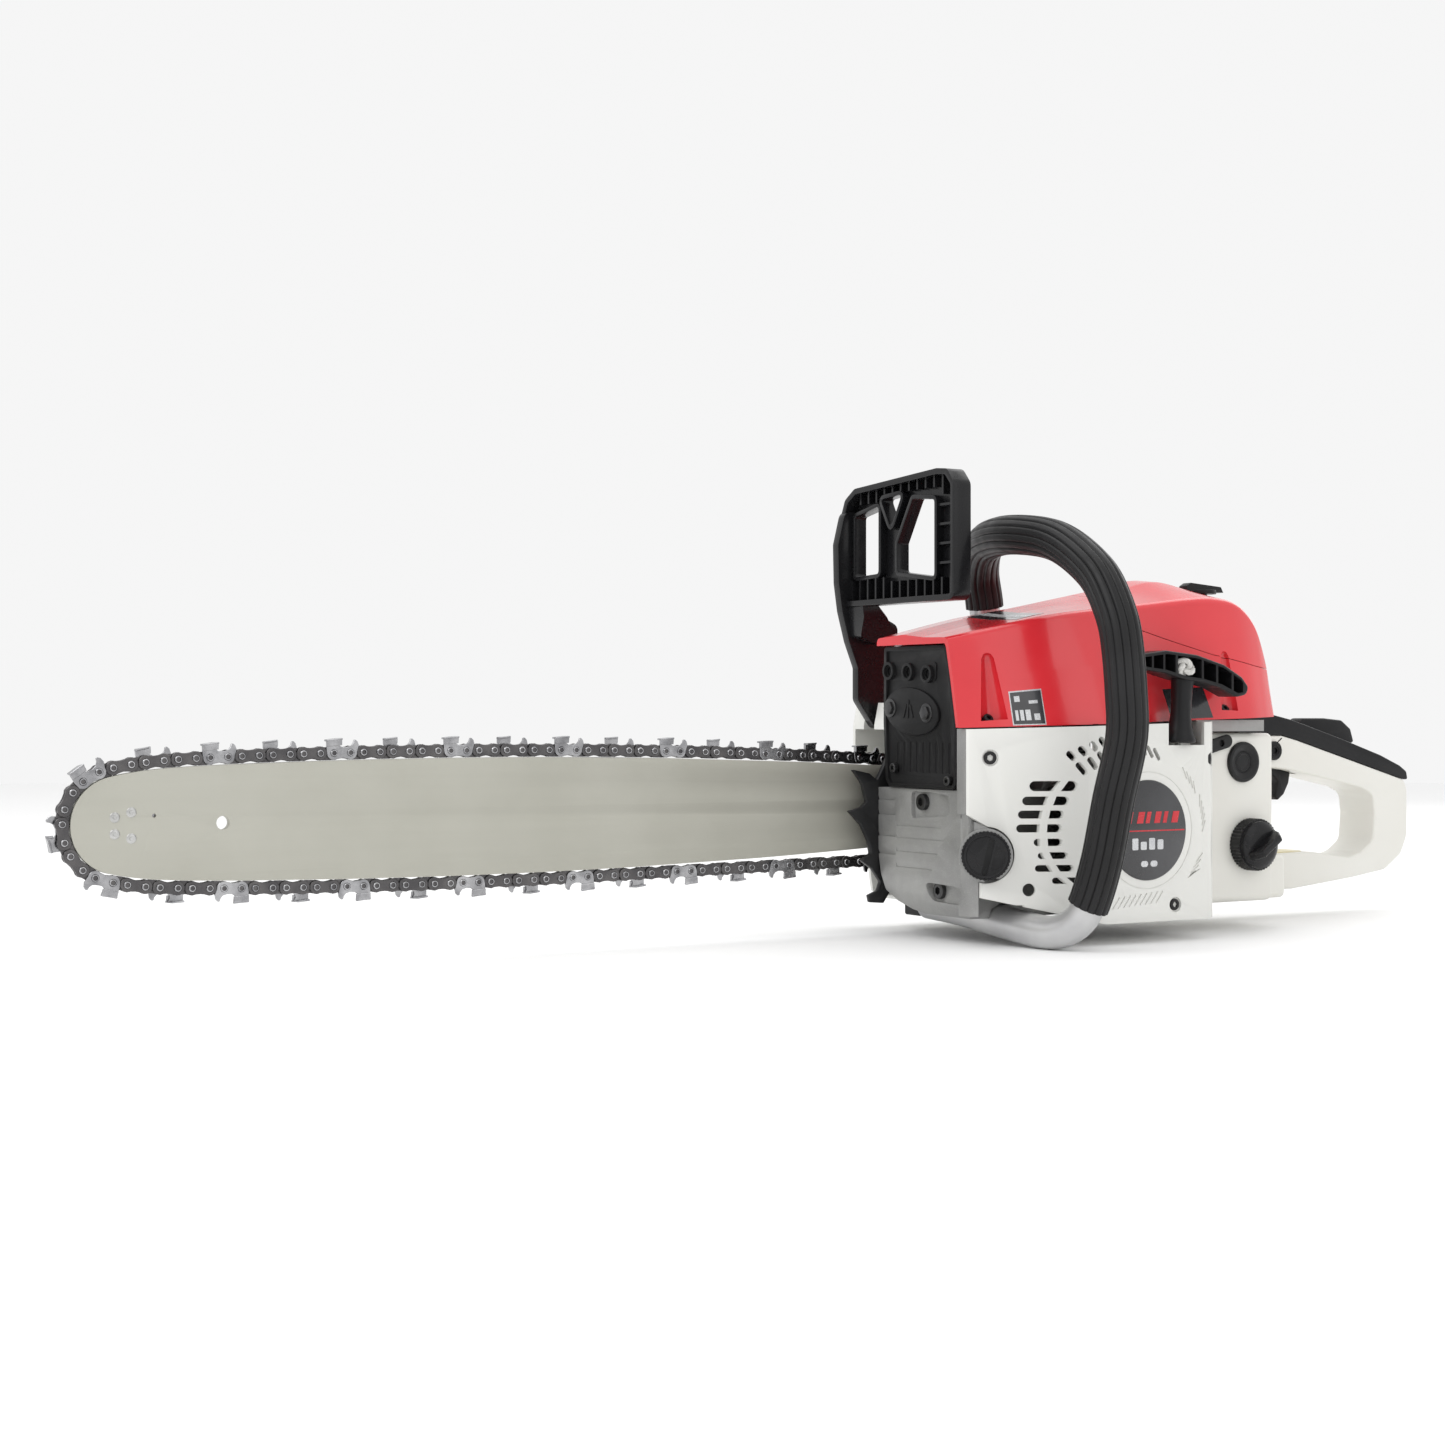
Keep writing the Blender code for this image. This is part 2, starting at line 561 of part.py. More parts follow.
def make_clutch():
    """Drive sprocket, drum, centrifugal hub, brake band and oil pump on the right shaft."""
    star = []
    for i in range(SPROCKET_TEETH * 4):
        reach = 0.0162 if i % 4 in (1, 2) else 0.0144
        angle = 2 * math.pi * i / (SPROCKET_TEETH * 4)
        star.append((reach * math.cos(angle), CRANK_Z + reach * math.sin(angle)))
    bore = circle((0.0, CRANK_Z), 0.0086, 24)
    sprocket = plate(star, "XZ", BAR_Y - 0.0045, BAR_Y + 0.0035, [bore])
    piece(sprocket, "drive_sprocket", "dark_steel", crank_axis(BAR_Y))
    drum = [
        (0.0370, 0.0205), (0.0370, 0.0), (0.0054, 0.0), (0.0054, 0.0020), (0.0352, 0.0020),
        (0.0352, 0.0205),
    ]
    cup = turned(drum[::-1], "Y", crank_axis(0.0513), 36, closed=True)
    piece(cup, "clutch_drum", "dark_steel", crank_axis(0.0513))
    shoe = circle((0.0, CRANK_Z), 0.0335, 36)
    hub = plate(shoe, "XZ", 0.0540, 0.0700, [circle((0.0, CRANK_Z), 0.0053, 20)])
    slots = []
    for turn in (90, 210, 330):
        slit = box((0.0120, 0.0500, -0.0010), (0.0400, 0.0740, 0.0010))
        spin = Matrix.Rotation(math.radians(turn), 4, "Y")
        slit.data.transform(Matrix.Translation(crank_axis(0.0)) @ spin)
        slots.append(slit)
    piece(cut(hub, *slots), "clutch_hub", "dark_steel", crank_axis(0.062))
    centre = (0.0, CRANK_Z)
    band_outline = arc(centre, 0.0392, 100, 430, 36) + arc(centre, 0.0378, 430, 100, 36)
    piece(plate(band_outline, "XZ", 0.0540, 0.0690), "brake_band", "bar_steel")
    pump = [(0.0230, 0.0395), (0.0230, 0.0330), (0.0115, 0.0330), (0.0115, 0.0395)]
    shape = turned(pump, "Y", crank_axis(0.0), 24, closed=True)
    fuse(shape, box((-0.034, 0.0330, 0.040), (-0.020, 0.0395, 0.060)))
    piece(shape, "oil_pump", "cast_alloy")


def make_bar_fixings():
    """Nuts of the two bar studs, and the tensioning screw with its pin."""
    for i, x in enumerate(STUD_X):
        nut = plate(hexagon(0.0075, (x, BAR_Z)), "XZ", 0.0785, 0.0855,
                    [circle((x, BAR_Z), 0.0042, 16)])
        piece(nut, f"bar_nut_{i + 1}", "dark_steel")
    screw = rod("X", (-0.084, 0.0380, BAR_Z + 0.014), 0.034, 0.0020, 12)
    piece(screw, "tensioner_screw", "chrome_steel")
    pin = box(
        (TENSION_X - 0.0030, 0.0345, BAR_Z + 0.0105), (TENSION_X + 0.0030, 0.0420, BAR_Z + 0.0175)
    )
    tip = rod("Y", (TENSION_X, 0.041, BAR_Z + 0.014), 0.0060, 0.0026, 12)
    cut(pin, rod("X", (-0.1, 0.0380, BAR_Z + 0.014), 0.05, 0.0023, 12))
    piece(fuse(pin, tip), "tensioner_pin", "dark_steel")


def make_bumper():
    """Spiked bumper plate bolted to the case beside the bar."""
    outline = [
        (-0.0960, 0.0890), (-0.1035, 0.0760), (-0.1090, 0.0800), (-0.1206, 0.0823),
        (-0.1140, 0.0740), (-0.1110, 0.0630), (-0.1150, 0.0600), (-0.1234, 0.0581),
        (-0.1150, 0.0500), (-0.1095, 0.0400), (-0.1080, 0.0330), (-0.1149, 0.0292),
        (-0.1070, 0.0240), (-0.1010, 0.0160), (-0.1030, 0.0110), (-0.1095, 0.0085),
        (-0.1085, 0.0043), (-0.0990, 0.0035), (-0.0950, 0.0090), (-0.0900, 0.0200),
        (-0.0860, 0.0380), (-0.0860, 0.0890),
    ]
    holes = [circle((-0.094, BAR_Z + side * 0.020), 0.0026, 12) for side in (-1, 1)]
    shape = plate(outline, "XZ", CASE_RIGHT + GAP, CASE_RIGHT + 0.0038, holes)
    piece(shape, "spiked_bumper", "black_steel")


def make_clutch_cover():
    """Shell over clutch and bar tail, open in front for the bar, with the guard's pivot ears."""
    outline = [
        (-0.0840, 0.1215), (-0.0680, 0.1215), (-0.0550, 0.1110), (0.0250, 0.1080),
        (0.0520, 0.0930), (0.0620, 0.0700), (0.0620, 0.0350), (0.0480, 0.0080), (0.0300, 0.0020),
        (-0.0660, 0.0020), (-0.0740, 0.0070), (-0.0760, 0.0200), (-0.0760, 0.0850),
        (-0.0870, 0.0930), (-0.0870, 0.1080),
    ]
    shell = plate(outline, "XZ", 0.0345, 0.0780)
    room = [
        (-0.1200, 0.1055), (0.0230, 0.1055), (0.0495, 0.0915), (0.0595, 0.0690),
        (0.0595, 0.0360), (0.0465, 0.0105), (0.0290, 0.0045), (-0.0690, 0.0045),
        (-0.1200, 0.0130),
    ]
    hollow = plate(room, "XZ", 0.0200, 0.0755)
    arm_slot = box((-0.1100, 0.0555, 0.1000), (-0.0690, 0.0665, 0.1300))
    pin_hole = rod("Y", (GUARD_PIVOT[0], 0.030, GUARD_PIVOT[2]), 0.060, 0.0033, 16)
    stud_holes = [rod("Y", (x, 0.060, BAR_Z), 0.030, 0.0043, 16) for x in STUD_X]
    cut(shell, hollow, arm_slot, pin_hole, *stud_holes)
    piece(shell, "clutch_cover", "white_plastic")
    catcher = box((-0.0690, 0.0345, -0.0060), (-0.0490, 0.0500, 0.0014), 0.001)
    piece(catcher, "chain_catcher", "black_plastic")


# ---------------------------------------------------------------- starter
def make_starter_cover():
    """Air-scoop shell over the flywheel, with the starter post and the rope shelf."""
    cover = plate(COVER_PLAN, "XY", COVER_BASE, 0.1200)
    inner = [
        (-0.1025, -0.0300), (-0.1025, -0.0565), (-0.0985, -0.0600),
        (-0.0415, -0.0865), (-0.0375, -0.0875), (0.0470, -0.0875), (0.0525, -0.0825),
        (0.0525, -0.0300),
    ]
    hollow = plate(inner, "XY", COVER_BASE + 0.0025, 0.1300)
    slope_top = plate(
        [(-0.12, sloped_base(-0.12) - 0.0012), (0.07, sloped_base(0.07) - 0.0012), (0.07, 0.14),
         (-0.12, 0.14)],
        "XZ", -0.11, -0.03,
    )
    corner_room = box((-0.1200, -0.0900, -0.0100), (CORNER_X + GAP, -0.0300, 0.0570))
    boss_room = rod(OIL_CAP_DIR, OIL_BOSS_ROOT, 0.060, 0.0158, 28)
    toe = plate([(-0.12, -0.01), (-0.030, -0.01), (-0.030, COVER_BASE), (-0.12, 0.018)], "XZ", -0.11, -0.03)
    notch = box((0.0160, -0.0950, 0.0970), (0.0430, -0.0760, 0.1400))
    post = rod("Y", crank_axis(-0.0885), 0.0235, 0.0060, 20)
    shelf = box((0.0140, -0.0890, 0.0930), (0.0450, -0.0740, 0.0968))
    back = box((0.0140, -0.0762, 0.0930), (0.0450, -0.0740, 0.1085))
    rope_hole = rod("Z", (GRIP_AT[0], GRIP_AT[1] + 0.003, 0.080), 0.030, 0.0024, 12)
    cut(cover, hollow, slope_top, corner_room, boss_room, toe, notch)
    fuse(cover, post, shelf, back)
    cut(cover, rope_hole, handle_groove())
    piece(cover, "starter_cover", "white_plastic")
    badge = rod("Y", (0.0, COVER_LEFT - 0.0010, 0.049), 0.0010 - GAP, 0.0285, 40)
    piece(badge, "starter_badge", "badge_film")


def make_starter_works():
    """Rope pulley, its wound rope, the flat recoil spring and the pull cord."""
    pulley = [
        (0.0290, 0.0), (0.0290, -0.0014), (0.0215, -0.0014), (0.0215, -0.0056), (0.0290, -0.0056),
        (0.0290, -0.0070), (0.0063, -0.0070), (0.0063, 0.0),
    ]
    shape = turned(pulley, "Y", crank_axis(-0.0680), 24, closed=True)
    piece(shape, "starter_pulley", "black_plastic", crank_axis(-0.0715))
    coil = [(0.0262, -0.0018), (0.0262, -0.0052), (0.0219, -0.0052), (0.0219, -0.0018)]
    shape = turned(coil, "Y", crank_axis(-0.0680), 24, closed=True)
    piece(shape, "rope_winding", "white_rope", crank_axis(-0.0715))
    spring = [(0.0240, 0.0), (0.0240, -0.0070), (0.0066, -0.0070), (0.0066, 0.0)]
    shape = turned(spring, "Y", crank_axis(-0.0762), 24, closed=True)
    piece(shape, "recoil_spring", "dark_steel")


def make_starter_grip():
    """T-shaped pull grip, a crescent beam on a stem, and the rope that runs up into it."""
    x, y = GRIP_AT
    beam = [
        (-0.0090, 0.1485), (0.0110, 0.1510), (0.0343, 0.1487), (0.0549, 0.1433),
        (0.0687, 0.1362), (0.0739, 0.1305), (0.0721, 0.1260), (0.0651, 0.1247),
        (0.0520, 0.1300), (0.0385, 0.1330), (0.0250, 0.1345), (0.0100, 0.1380), (-0.0090, 0.1400),
    ]
    grip = plate(beam, "XZ", y - 0.0085, y + 0.0085)
    stem = plate(
        [(0.0240, 0.1380), (0.0400, 0.1360), (0.0345, 0.1150), (0.0370, 0.1000), (0.0360, 0.0985),
         (0.0205, 0.0985), (0.0195, 0.1000), (0.0235, 0.1150)],
        "XZ", y - 0.0075, y + 0.0075,
    )
    pocket = box((0.0220, y - 0.0090, 0.1360), (0.0400, y + 0.0010, 0.1460))
    rope_way = rod("Z", (x, y + 0.003, 0.0900), 0.0520, 0.0022, 12)
    fuse(grip, stem)
    cut(grip, pocket, rope_way)
    piece(grip, "starter_grip", "black_plastic", (x, y, 0.0985))
    rope = rod("Z", (x, y + 0.003, 0.0560), 0.0805, 0.0017, 12)
    piece(rope, "starter_rope", "white_rope")


# ---------------------------------------------------------------- covers
def sloped_base(x):
    """Height of the joint line between the red and the white covers."""
    t = (x - SHROUD_FRONT) / (SHROUD_REAR - SHROUD_FRONT)
    return SHROUD_BASE_FRONT + (SHROUD_BASE_REAR - SHROUD_BASE_FRONT) * t


# x, near side at the base, near side at the shoulder, far side, shoulder height, ridge height
SHROUD_SECTIONS = [
    (-0.1080, -0.0565, -0.0455, 0.0215, 0.1548, 0.1555),
    (-0.0850, -0.0680, -0.0540, 0.0260, 0.1622, 0.1640),
    (-0.0500, -0.0800, -0.0620, 0.0290, 0.1718, 0.1740),
    (-0.0150, -0.0860, -0.0640, 0.0290, 0.1760, 0.1810),
    (0.0300, -0.0740, -0.0620, 0.0290, 0.1805, 0.1900),
    (0.0570, -0.0740, -0.0610, 0.0290, 0.1830, 0.1962),
    (0.0780, -0.0740, -0.0600, 0.0290, 0.1845, 0.1940),
    (0.0980, -0.0720, -0.0585, 0.0280, 0.1820, 0.1860),
    (0.1130, -0.0670, -0.0570, 0.0260, 0.1710, 0.1735),
    (0.1220, -0.0630, -0.0560, 0.0240, 0.1520, 0.1535),
    (0.1260, -0.0610, -0.0550, 0.0220, 0.1380, 0.1390),
]
SHROUD_WALL = 0.0022


def shroud_shell():
    """The red covers as one loft, open in front and below, with the wall inward."""
    sections = []
    for x, base_y, near_y, far_y, shoulder, ridge in SHROUD_SECTIONS:
        base = sloped_base(x)
        middle = (near_y + far_y) / 2
        sections.append([
            (x, base_y, base), (x, base_y * 0.55 + near_y * 0.45, (base + shoulder) / 2),
            (x, near_y - 0.003, shoulder - 0.006), (x, near_y + 0.004, shoulder),
            (x, middle - 0.012, ridge - 0.002), (x, middle + 0.008, ridge),
            (x, far_y - 0.006, shoulder + 0.001), (x, far_y, shoulder - 0.006),
            (x, far_y, (base + shoulder) / 2), (x, far_y, base),
        ])
    bm, rows = loft(sections)
    tail = rows[-1]
    for i in range(len(tail) // 2 - 1):
        bm.faces.new((tail[i], tail[i + 1], tail[-2 - i], tail[-1 - i]))
    shell = mesh_object(bm)
    upward = max(shell.data.polygons, key=lambda face: face.center.z)
    if upward.normal.z < 0:
        shell.data.flip_normals()
    wall = shell.modifiers.new("wall", "SOLIDIFY")
    wall.thickness = SHROUD_WALL
    wall.offset = -1
    wall.use_even_offset = True
    return to_mesh(shell)


def parting(extra):
    """Region above the joint between front shroud and filter cover, grown by a gap."""
    line = [(0.0100, 0.1648), (0.0700, 0.1501), (0.1059, 0.1440), (0.1400, 0.1400)]
    low = [(x - (extra if x < 0.02 else 0.0), z - extra) for x, z in line]
    return plate([*low, (0.1400, 0.2200), (0.0100 - extra, 0.2200)], "XZ", -0.12, 0.06)


def make_shrouds():
    """Front shroud and filter cover, parted along a sloping joint, and the cover's knob."""
    front = shroud_shell()
    knob_hole = rod("Z", (*KNOB_AT, 0.1500), 0.0500, 0.0040, 16)
    piece(cut(front, parting(GAP)), "top_cover", "red_plastic")
    rear = shroud_shell()
    boolean(rear, parting(0.0), "INTERSECT")
    piece(cut(rear, knob_hole), "filter_cover", "red_plastic")
    wing = plate(
        [(-0.0150, 0.1930), (-0.0115, 0.1950), (0.0130, 0.1930), (0.0150, 0.1895), (-0.0150, 0.1895)],
        "XZ", -0.0035, 0.0035,
    )
    wing.data.transform(Matrix.Translation((*KNOB_AT, 0.0)))
    disc = rod("Z", (*KNOB_AT, 0.1883), 0.0025, 0.0090, 24)
    stem = rod("Z", (*KNOB_AT, 0.1450), 0.0440, 0.0035, 16)
    piece(fuse(disc, wing, stem), "filter_cover_knob", "black_plastic", (*KNOB_AT, 0.188))


def make_tank():
    """Fuel tank with its filler, in one moulding with the rear handle loop."""
    tank = box((TANK_FRONT, TANK_LEFT, 0.0020), (TANK_REAR, TANK_RIGHT, 0.1035), 0.004)
    heel = box((TANK_REAR - 0.020, TANK_LEFT + 0.001, 0.0030), (TANK_HEEL, TANK_RIGHT - 0.001, 0.0290), 0.003)
    outline = [
        (0.1255, 0.0040), (0.1870, 0.0035), (0.2410, 0.0090), (0.2700, 0.0130), (0.2850, 0.0230),
        (0.2905, 0.0350), (0.2905, 0.0650), (0.2880, 0.0713), (0.2270, 0.0880), (0.1910, 0.0980),
        (0.1780, 0.1010), (0.1255, 0.1010),
    ]
    window = [
        (0.1520, 0.0260), (0.2050, 0.0265), (0.2370, 0.0220), (0.2480, 0.0250), (0.2585, 0.0320),
        (0.2600, 0.0500), (0.2585, 0.0624), (0.2480, 0.0669), (0.2200, 0.0723), (0.1860, 0.0790),
        (0.1520, 0.0830),
    ]
    handle = plate(outline, "XZ", -HANDLE_HALF, HANDLE_HALF, [window])
    fuse(tank, heel, handle)
    room = box(
        (TANK_FRONT + 0.003, TANK_LEFT + 0.003, 0.005), (TANK_REAR - 0.003, TANK_RIGHT - 0.003, 0.074)
    )
    neck = rod("Y", (FUEL_CAP_AT[0], TANK_LEFT - 0.001, FUEL_CAP_AT[2]), 0.010, 0.0110, 24)
    upper = box(
        (TANK_FRONT + 0.003, TANK_LEFT + 0.003, 0.077), (TANK_REAR - 0.003, TANK_RIGHT - 0.003, 0.120)
    )
    trigger_slot = box((0.1680, -0.0058, 0.0600), (0.2010, 0.0058, 0.1100))
    cut(tank, room, neck, upper, trigger_slot)
    piece(tank, "fuel_tank", "white_plastic")


def make_tank_trim():
    """Rubber-mount plug, screw cap and carburettor screw grommet on the tank's left face."""
    plug = rod("Y", (0.1010, TANK_LEFT - 0.0025, 0.0860), 0.0025 - GAP, 0.0122, 28)
    piece(plug, "mount_plug", "black_rubber")
    cap = rod("Y", (0.1695, -HANDLE_HALF - 0.0030, 0.0915), 0.0030 - GAP, 0.0060, 20)
    piece(cap, "handle_screw_cap", "black_plastic")
    pill = plate(
        [(x * 0.97 - z * 0.24 + 0.0790, x * 0.24 + z * 0.97 + 0.0965) for x, z in
         arc((-0.0085, 0.0), 0.0040, 90, 270, 8) + arc((0.0085, 0.0), 0.0040, -90, 90, 8)],
        "XZ", TANK_LEFT - 0.0025, TANK_LEFT - GAP,
    )
    piece(pill, "carburetor_grommet", "black_rubber")


def make_caps():
    """Screw caps of the fuel and oil tanks, each a knurled disc with a raised wing."""
    x, y, z = FUEL_CAP_AT
    disc = rod("Y", (x, y - 0.0125, z), 0.0125 - GAP, 0.0157, 32)
    wing = box((x - 0.0130, y - 0.0210, z - 0.0032), (x + 0.0130, y - 0.0120, z + 0.0032), 0.001)
    wing.data.transform(
        Matrix.Translation((x, y, z)) @ Matrix.Rotation(math.radians(-35), 4, "Y")
        @ Matrix.Translation((-x, -y, -z))
    )
    spigot = rod("Y", (x, y - 0.001, z), 0.0090, 0.0107, 24)
    piece(fuse(disc, wing, spigot), "fuel_cap", "black_plastic", FUEL_CAP_AT)

    at, way = Vector(OIL_CAP_AT), Vector(OIL_CAP_DIR)
    disc = rod(way, at + way * GAP, 0.0060, 0.0138, 32)
    spigot = rod(way, at - way * 0.0080, 0.0100, 0.0107, 24)
    turn = Vector((0, 0, 1)).rotation_difference(way).to_matrix().to_4x4()
    slot = box((-0.0115, -0.0018, 0.0035), (0.0115, 0.0018, 0.0100))
    slot.data.transform(Matrix.Translation(at) @ turn @ Matrix.Rotation(math.radians(40), 4, "Z"))
    fuse(disc, spigot)
    piece(cut(disc, slot), "oil_cap", "black_plastic", OIL_CAP_AT)


def make_rear_controls():
    """Top cover of the rear handle, throttle trigger, lockout, choke knob and stop switch."""
    top = [
        (0.1400, 0.1013), (0.1780, 0.1013), (0.1910, 0.0983), (0.2270, 0.0883), (0.2880, 0.0716),
        (0.2912, 0.0716), (0.2900, 0.0770), (0.2837, 0.0809), (0.2660, 0.0879), (0.2297, 0.0990),
        (0.1874, 0.1109), (0.1702, 0.1143), (0.1400, 0.1143),
    ]
    cover = plate(top, "XZ", -HANDLE_HALF + 0.0005, HANDLE_HALF - 0.0005)
    cut(cover, box((0.2000, -0.0062, 0.0600), (0.2630, 0.0062, 0.1300)))
    piece(cover, "handle_grip_cover", "black_plastic")
    lever = [
        (0.2035, 0.0985), (0.2035, 0.1100), (0.2060, 0.1120), (0.2250, 0.1120), (0.2410, 0.1107),
        (0.2492, 0.1050), (0.2521, 0.0965), (0.2460, 0.0940), (0.2260, 0.1000), (0.2100, 0.0955),
    ]
    piece(plate(lever, "XZ", -0.0055, 0.0055), "throttle_lockout", "black_plastic", LOCKOUT_PIVOT)
    blade = [
        (0.1720, 0.0900), (0.1800, 0.0900), (0.1860, 0.0800), (0.1957, 0.0776), (0.1943, 0.0703),
        (0.1902, 0.0633), (0.1846, 0.0593), (0.1820, 0.0620), (0.1850, 0.0720), (0.1780, 0.0770),
        (0.1720, 0.0830),
    ]
    piece(plate(blade, "XZ", -0.0050, 0.0050), "throttle_trigger", "black_plastic", TRIGGER_PIVOT)
    choke = rod("X", (SHROUD_REAR + GAP, -0.040, 0.122), 0.0060, 0.0055, 20)
    piece(choke, "choke_knob", "black_plastic")
    switch = box((0.1500, HANDLE_HALF + GAP, 0.0880), (0.1640, HANDLE_HALF + 0.0060, 0.0960), 0.001)
    piece(switch, "stop_switch", "red_plastic", (0.157, HANDLE_HALF, 0.092))


# ---------------------------------------------------------------- front handle and guard
HANDLE_ROUTE = [
    (-0.0140, 0.0410, 0.1160), (-0.0140, 0.0410, 0.1500), (-0.0150, 0.0410, 0.1800),
    (-0.0230, 0.0350, 0.2010), (-0.0360, 0.0140, 0.2150), (-0.0450, -0.0100, 0.2185),
    (-0.0500, -0.0360, 0.2180), (-0.0500, -0.0620, 0.2145), (-0.0500, -0.0800, 0.2085),
    (-0.0500, -0.0980, 0.1980), (-0.0500, -0.1105, 0.1870), (-0.0500, -0.1210, 0.1700),
    (-0.0500, -0.1260, 0.1550), (-0.0500, -0.1295, 0.1285), (-0.0500, -0.1300, 0.1020),
    (-0.0550, -0.1250, 0.0680), (-0.0580, -0.1190, 0.0350), (-0.0610, -0.1110, 0.0100),
    (-0.0640, -0.1030, -0.0005), (-0.0680, -0.0910, -0.0055), (-0.0710, -0.0750, -0.0050),
    (-0.0740, -0.0500, -0.0020), (-0.0770, -0.0200, 0.0020), (-0.0780, 0.0120, 0.0040),
]
GRIP_FIRST, GRIP_LAST = 2, 17     # corners of the route that the rubber grip covers
ROUTE_STEPS = 2                   # points between two corners of the route


def handle_groove():
    """Cutter that leaves room for the handle tube under the machine."""
    under = smooth_route(HANDLE_ROUTE, ROUTE_STEPS)[16 * ROUTE_STEPS:]
    beyond = under[-1] + (under[-1] - under[-2]).normalized() * 0.004
    return wire([*under, beyond], TUBE_R + 0.0012, 2)


def make_front_handle():
    """Bent tube round the machine, with a rubber sleeve on the part that is held."""
    route = smooth_route(HANDLE_ROUTE, ROUTE_STEPS)
    piece(wire(route, TUBE_R, 2), "front_handle_tube", "silver_tube")
    held = route[GRIP_FIRST * ROUTE_STEPS:GRIP_LAST * ROUTE_STEPS + 1]
    sleeve = wire(held, GRIP_R, 2, capped=False)
    wall = sleeve.modifiers.new("wall", "SOLIDIFY")
    wall.thickness = GRIP_WALL
    wall.offset = -1
    piece(to_mesh(sleeve), "front_handle_grip", "black_rubber")
    bracket = [(-0.030, 0.0620), (0.002, 0.0620), (0.002, 0.1200), (-0.004, 0.1300), (-0.024, 0.1300),
               (-0.030, 0.1200)]
    shape = plate(bracket, "XZ", CASE_RIGHT + 0.0012, 0.0310)
    piece(shape, "handle_bracket", "cast_alloy")


def make_hand_guard():
    """Front hand guard: windowed plate on one arm that turns on the brake pivot."""
    face = [
        (-0.0470, 0.1790), (-0.0470, 0.2450), (-0.0400, 0.2530), (-0.0300, 0.2540),
        (0.0520, 0.2490), (0.0620, 0.2430), (0.0660, 0.2340), (0.0660, 0.1790),
    ]
    windows = [
        [(0.0315, 0.1975), (0.0315, 0.2370), (0.0560, 0.2325), (0.0560, 0.1965)],
        [(0.0075, 0.2425), (0.0290, 0.2410), (0.0190, 0.2235)],
        [(-0.0240, 0.1930), (-0.0240, 0.2370), (-0.0030, 0.2390), (0.0122, 0.2140), (0.0122, 0.1975)],
    ]
    panel = plate(face, "YZ", -0.0960, -0.0920, windows)
    inner_face = [(y * 0.93 + 0.0007, 0.2150 + (z - 0.2150) * 0.90) for y, z in face]
    rim = plate(face, "YZ", -0.1040, -0.0920, [inner_face])
    arm = [
        (-0.0720, 0.1060), (-0.0830, 0.1060), (-0.0957, 0.1230), (-0.0957, 0.1424),
        (-0.1020, 0.1580), (-0.1070, 0.1760), (-0.1095, 0.1930), (-0.1100, 0.2160),
        (-0.1050, 0.2360), (-0.0920, 0.2360), (-0.0920, 0.1800), (-0.0760, 0.1640),
        (-0.0850, 0.1424), (-0.0850, 0.1280), (-0.0720, 0.1190),
    ]
    side = plate(arm, "XZ", 0.0600, 0.0660, [circle((GUARD_PIVOT[0], GUARD_PIVOT[2]), 0.0033, 16)])
    piece(fuse(panel, rim, side), "hand_guard", "black_plastic", GUARD_PIVOT)
    pin = rod("Y", (GUARD_PIVOT[0], 0.0400, GUARD_PIVOT[2]), 0.0400, 0.0030, 16)
    piece(pin, "guard_pivot_pin", "chrome_steel")


# ---------------------------------------------------------------- shared shapes and assembly
CORNER_X = -0.0905
COVER_PLAN = [
    (-0.1050, CASE_LEFT - GAP), (-0.1050, -0.0575), (-0.1000, -0.0620), (-0.0420, -0.0890),
    (-0.0380, COVER_LEFT), (0.0480, COVER_LEFT), (0.0550, -0.0840), (0.0550, CASE_LEFT - GAP),
]
CASE_CORNER = [
    (CASE_FRONT, -0.0500), (CASE_FRONT, -0.0520), (-0.0950, -0.0635), (CORNER_X - GAP, -0.0655),
    (CORNER_X - GAP, -0.0500),
]
OIL_BOSS_ROOT = tuple(a - 0.030 * d for a, d in zip(OIL_CAP_AT, OIL_CAP_DIR))

clear_scene()
PARTS = collection("chainsaw")
CUTTERS = collection("chainsaw_cutters")

make_crankcase()
make_cylinder()
make_piston_group()
make_crankshaft()
make_flywheel()
make_ignition()
make_exhaust()
make_intake()
make_bar_and_chain(taut_shift())
make_clutch()
make_bar_fixings()
make_bumper()
make_clutch_cover()
make_starter_cover()
make_starter_works()
make_starter_grip()
make_shrouds()
make_tank()
make_tank_trim()
make_caps()
make_rear_controls()
make_front_handle()
make_hand_guard()
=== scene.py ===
"""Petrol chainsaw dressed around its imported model: cutting gear, covers, handles, controls and finishes."""

from __future__ import annotations

import json
import logging
import math
from contextlib import contextmanager
from dataclasses import dataclass, field
from enum import Enum
from typing import Callable, Iterator, Sequence

import bmesh
import bpy
from mathutils import Matrix, Vector
from mathutils.geometry import convex_hull_2d

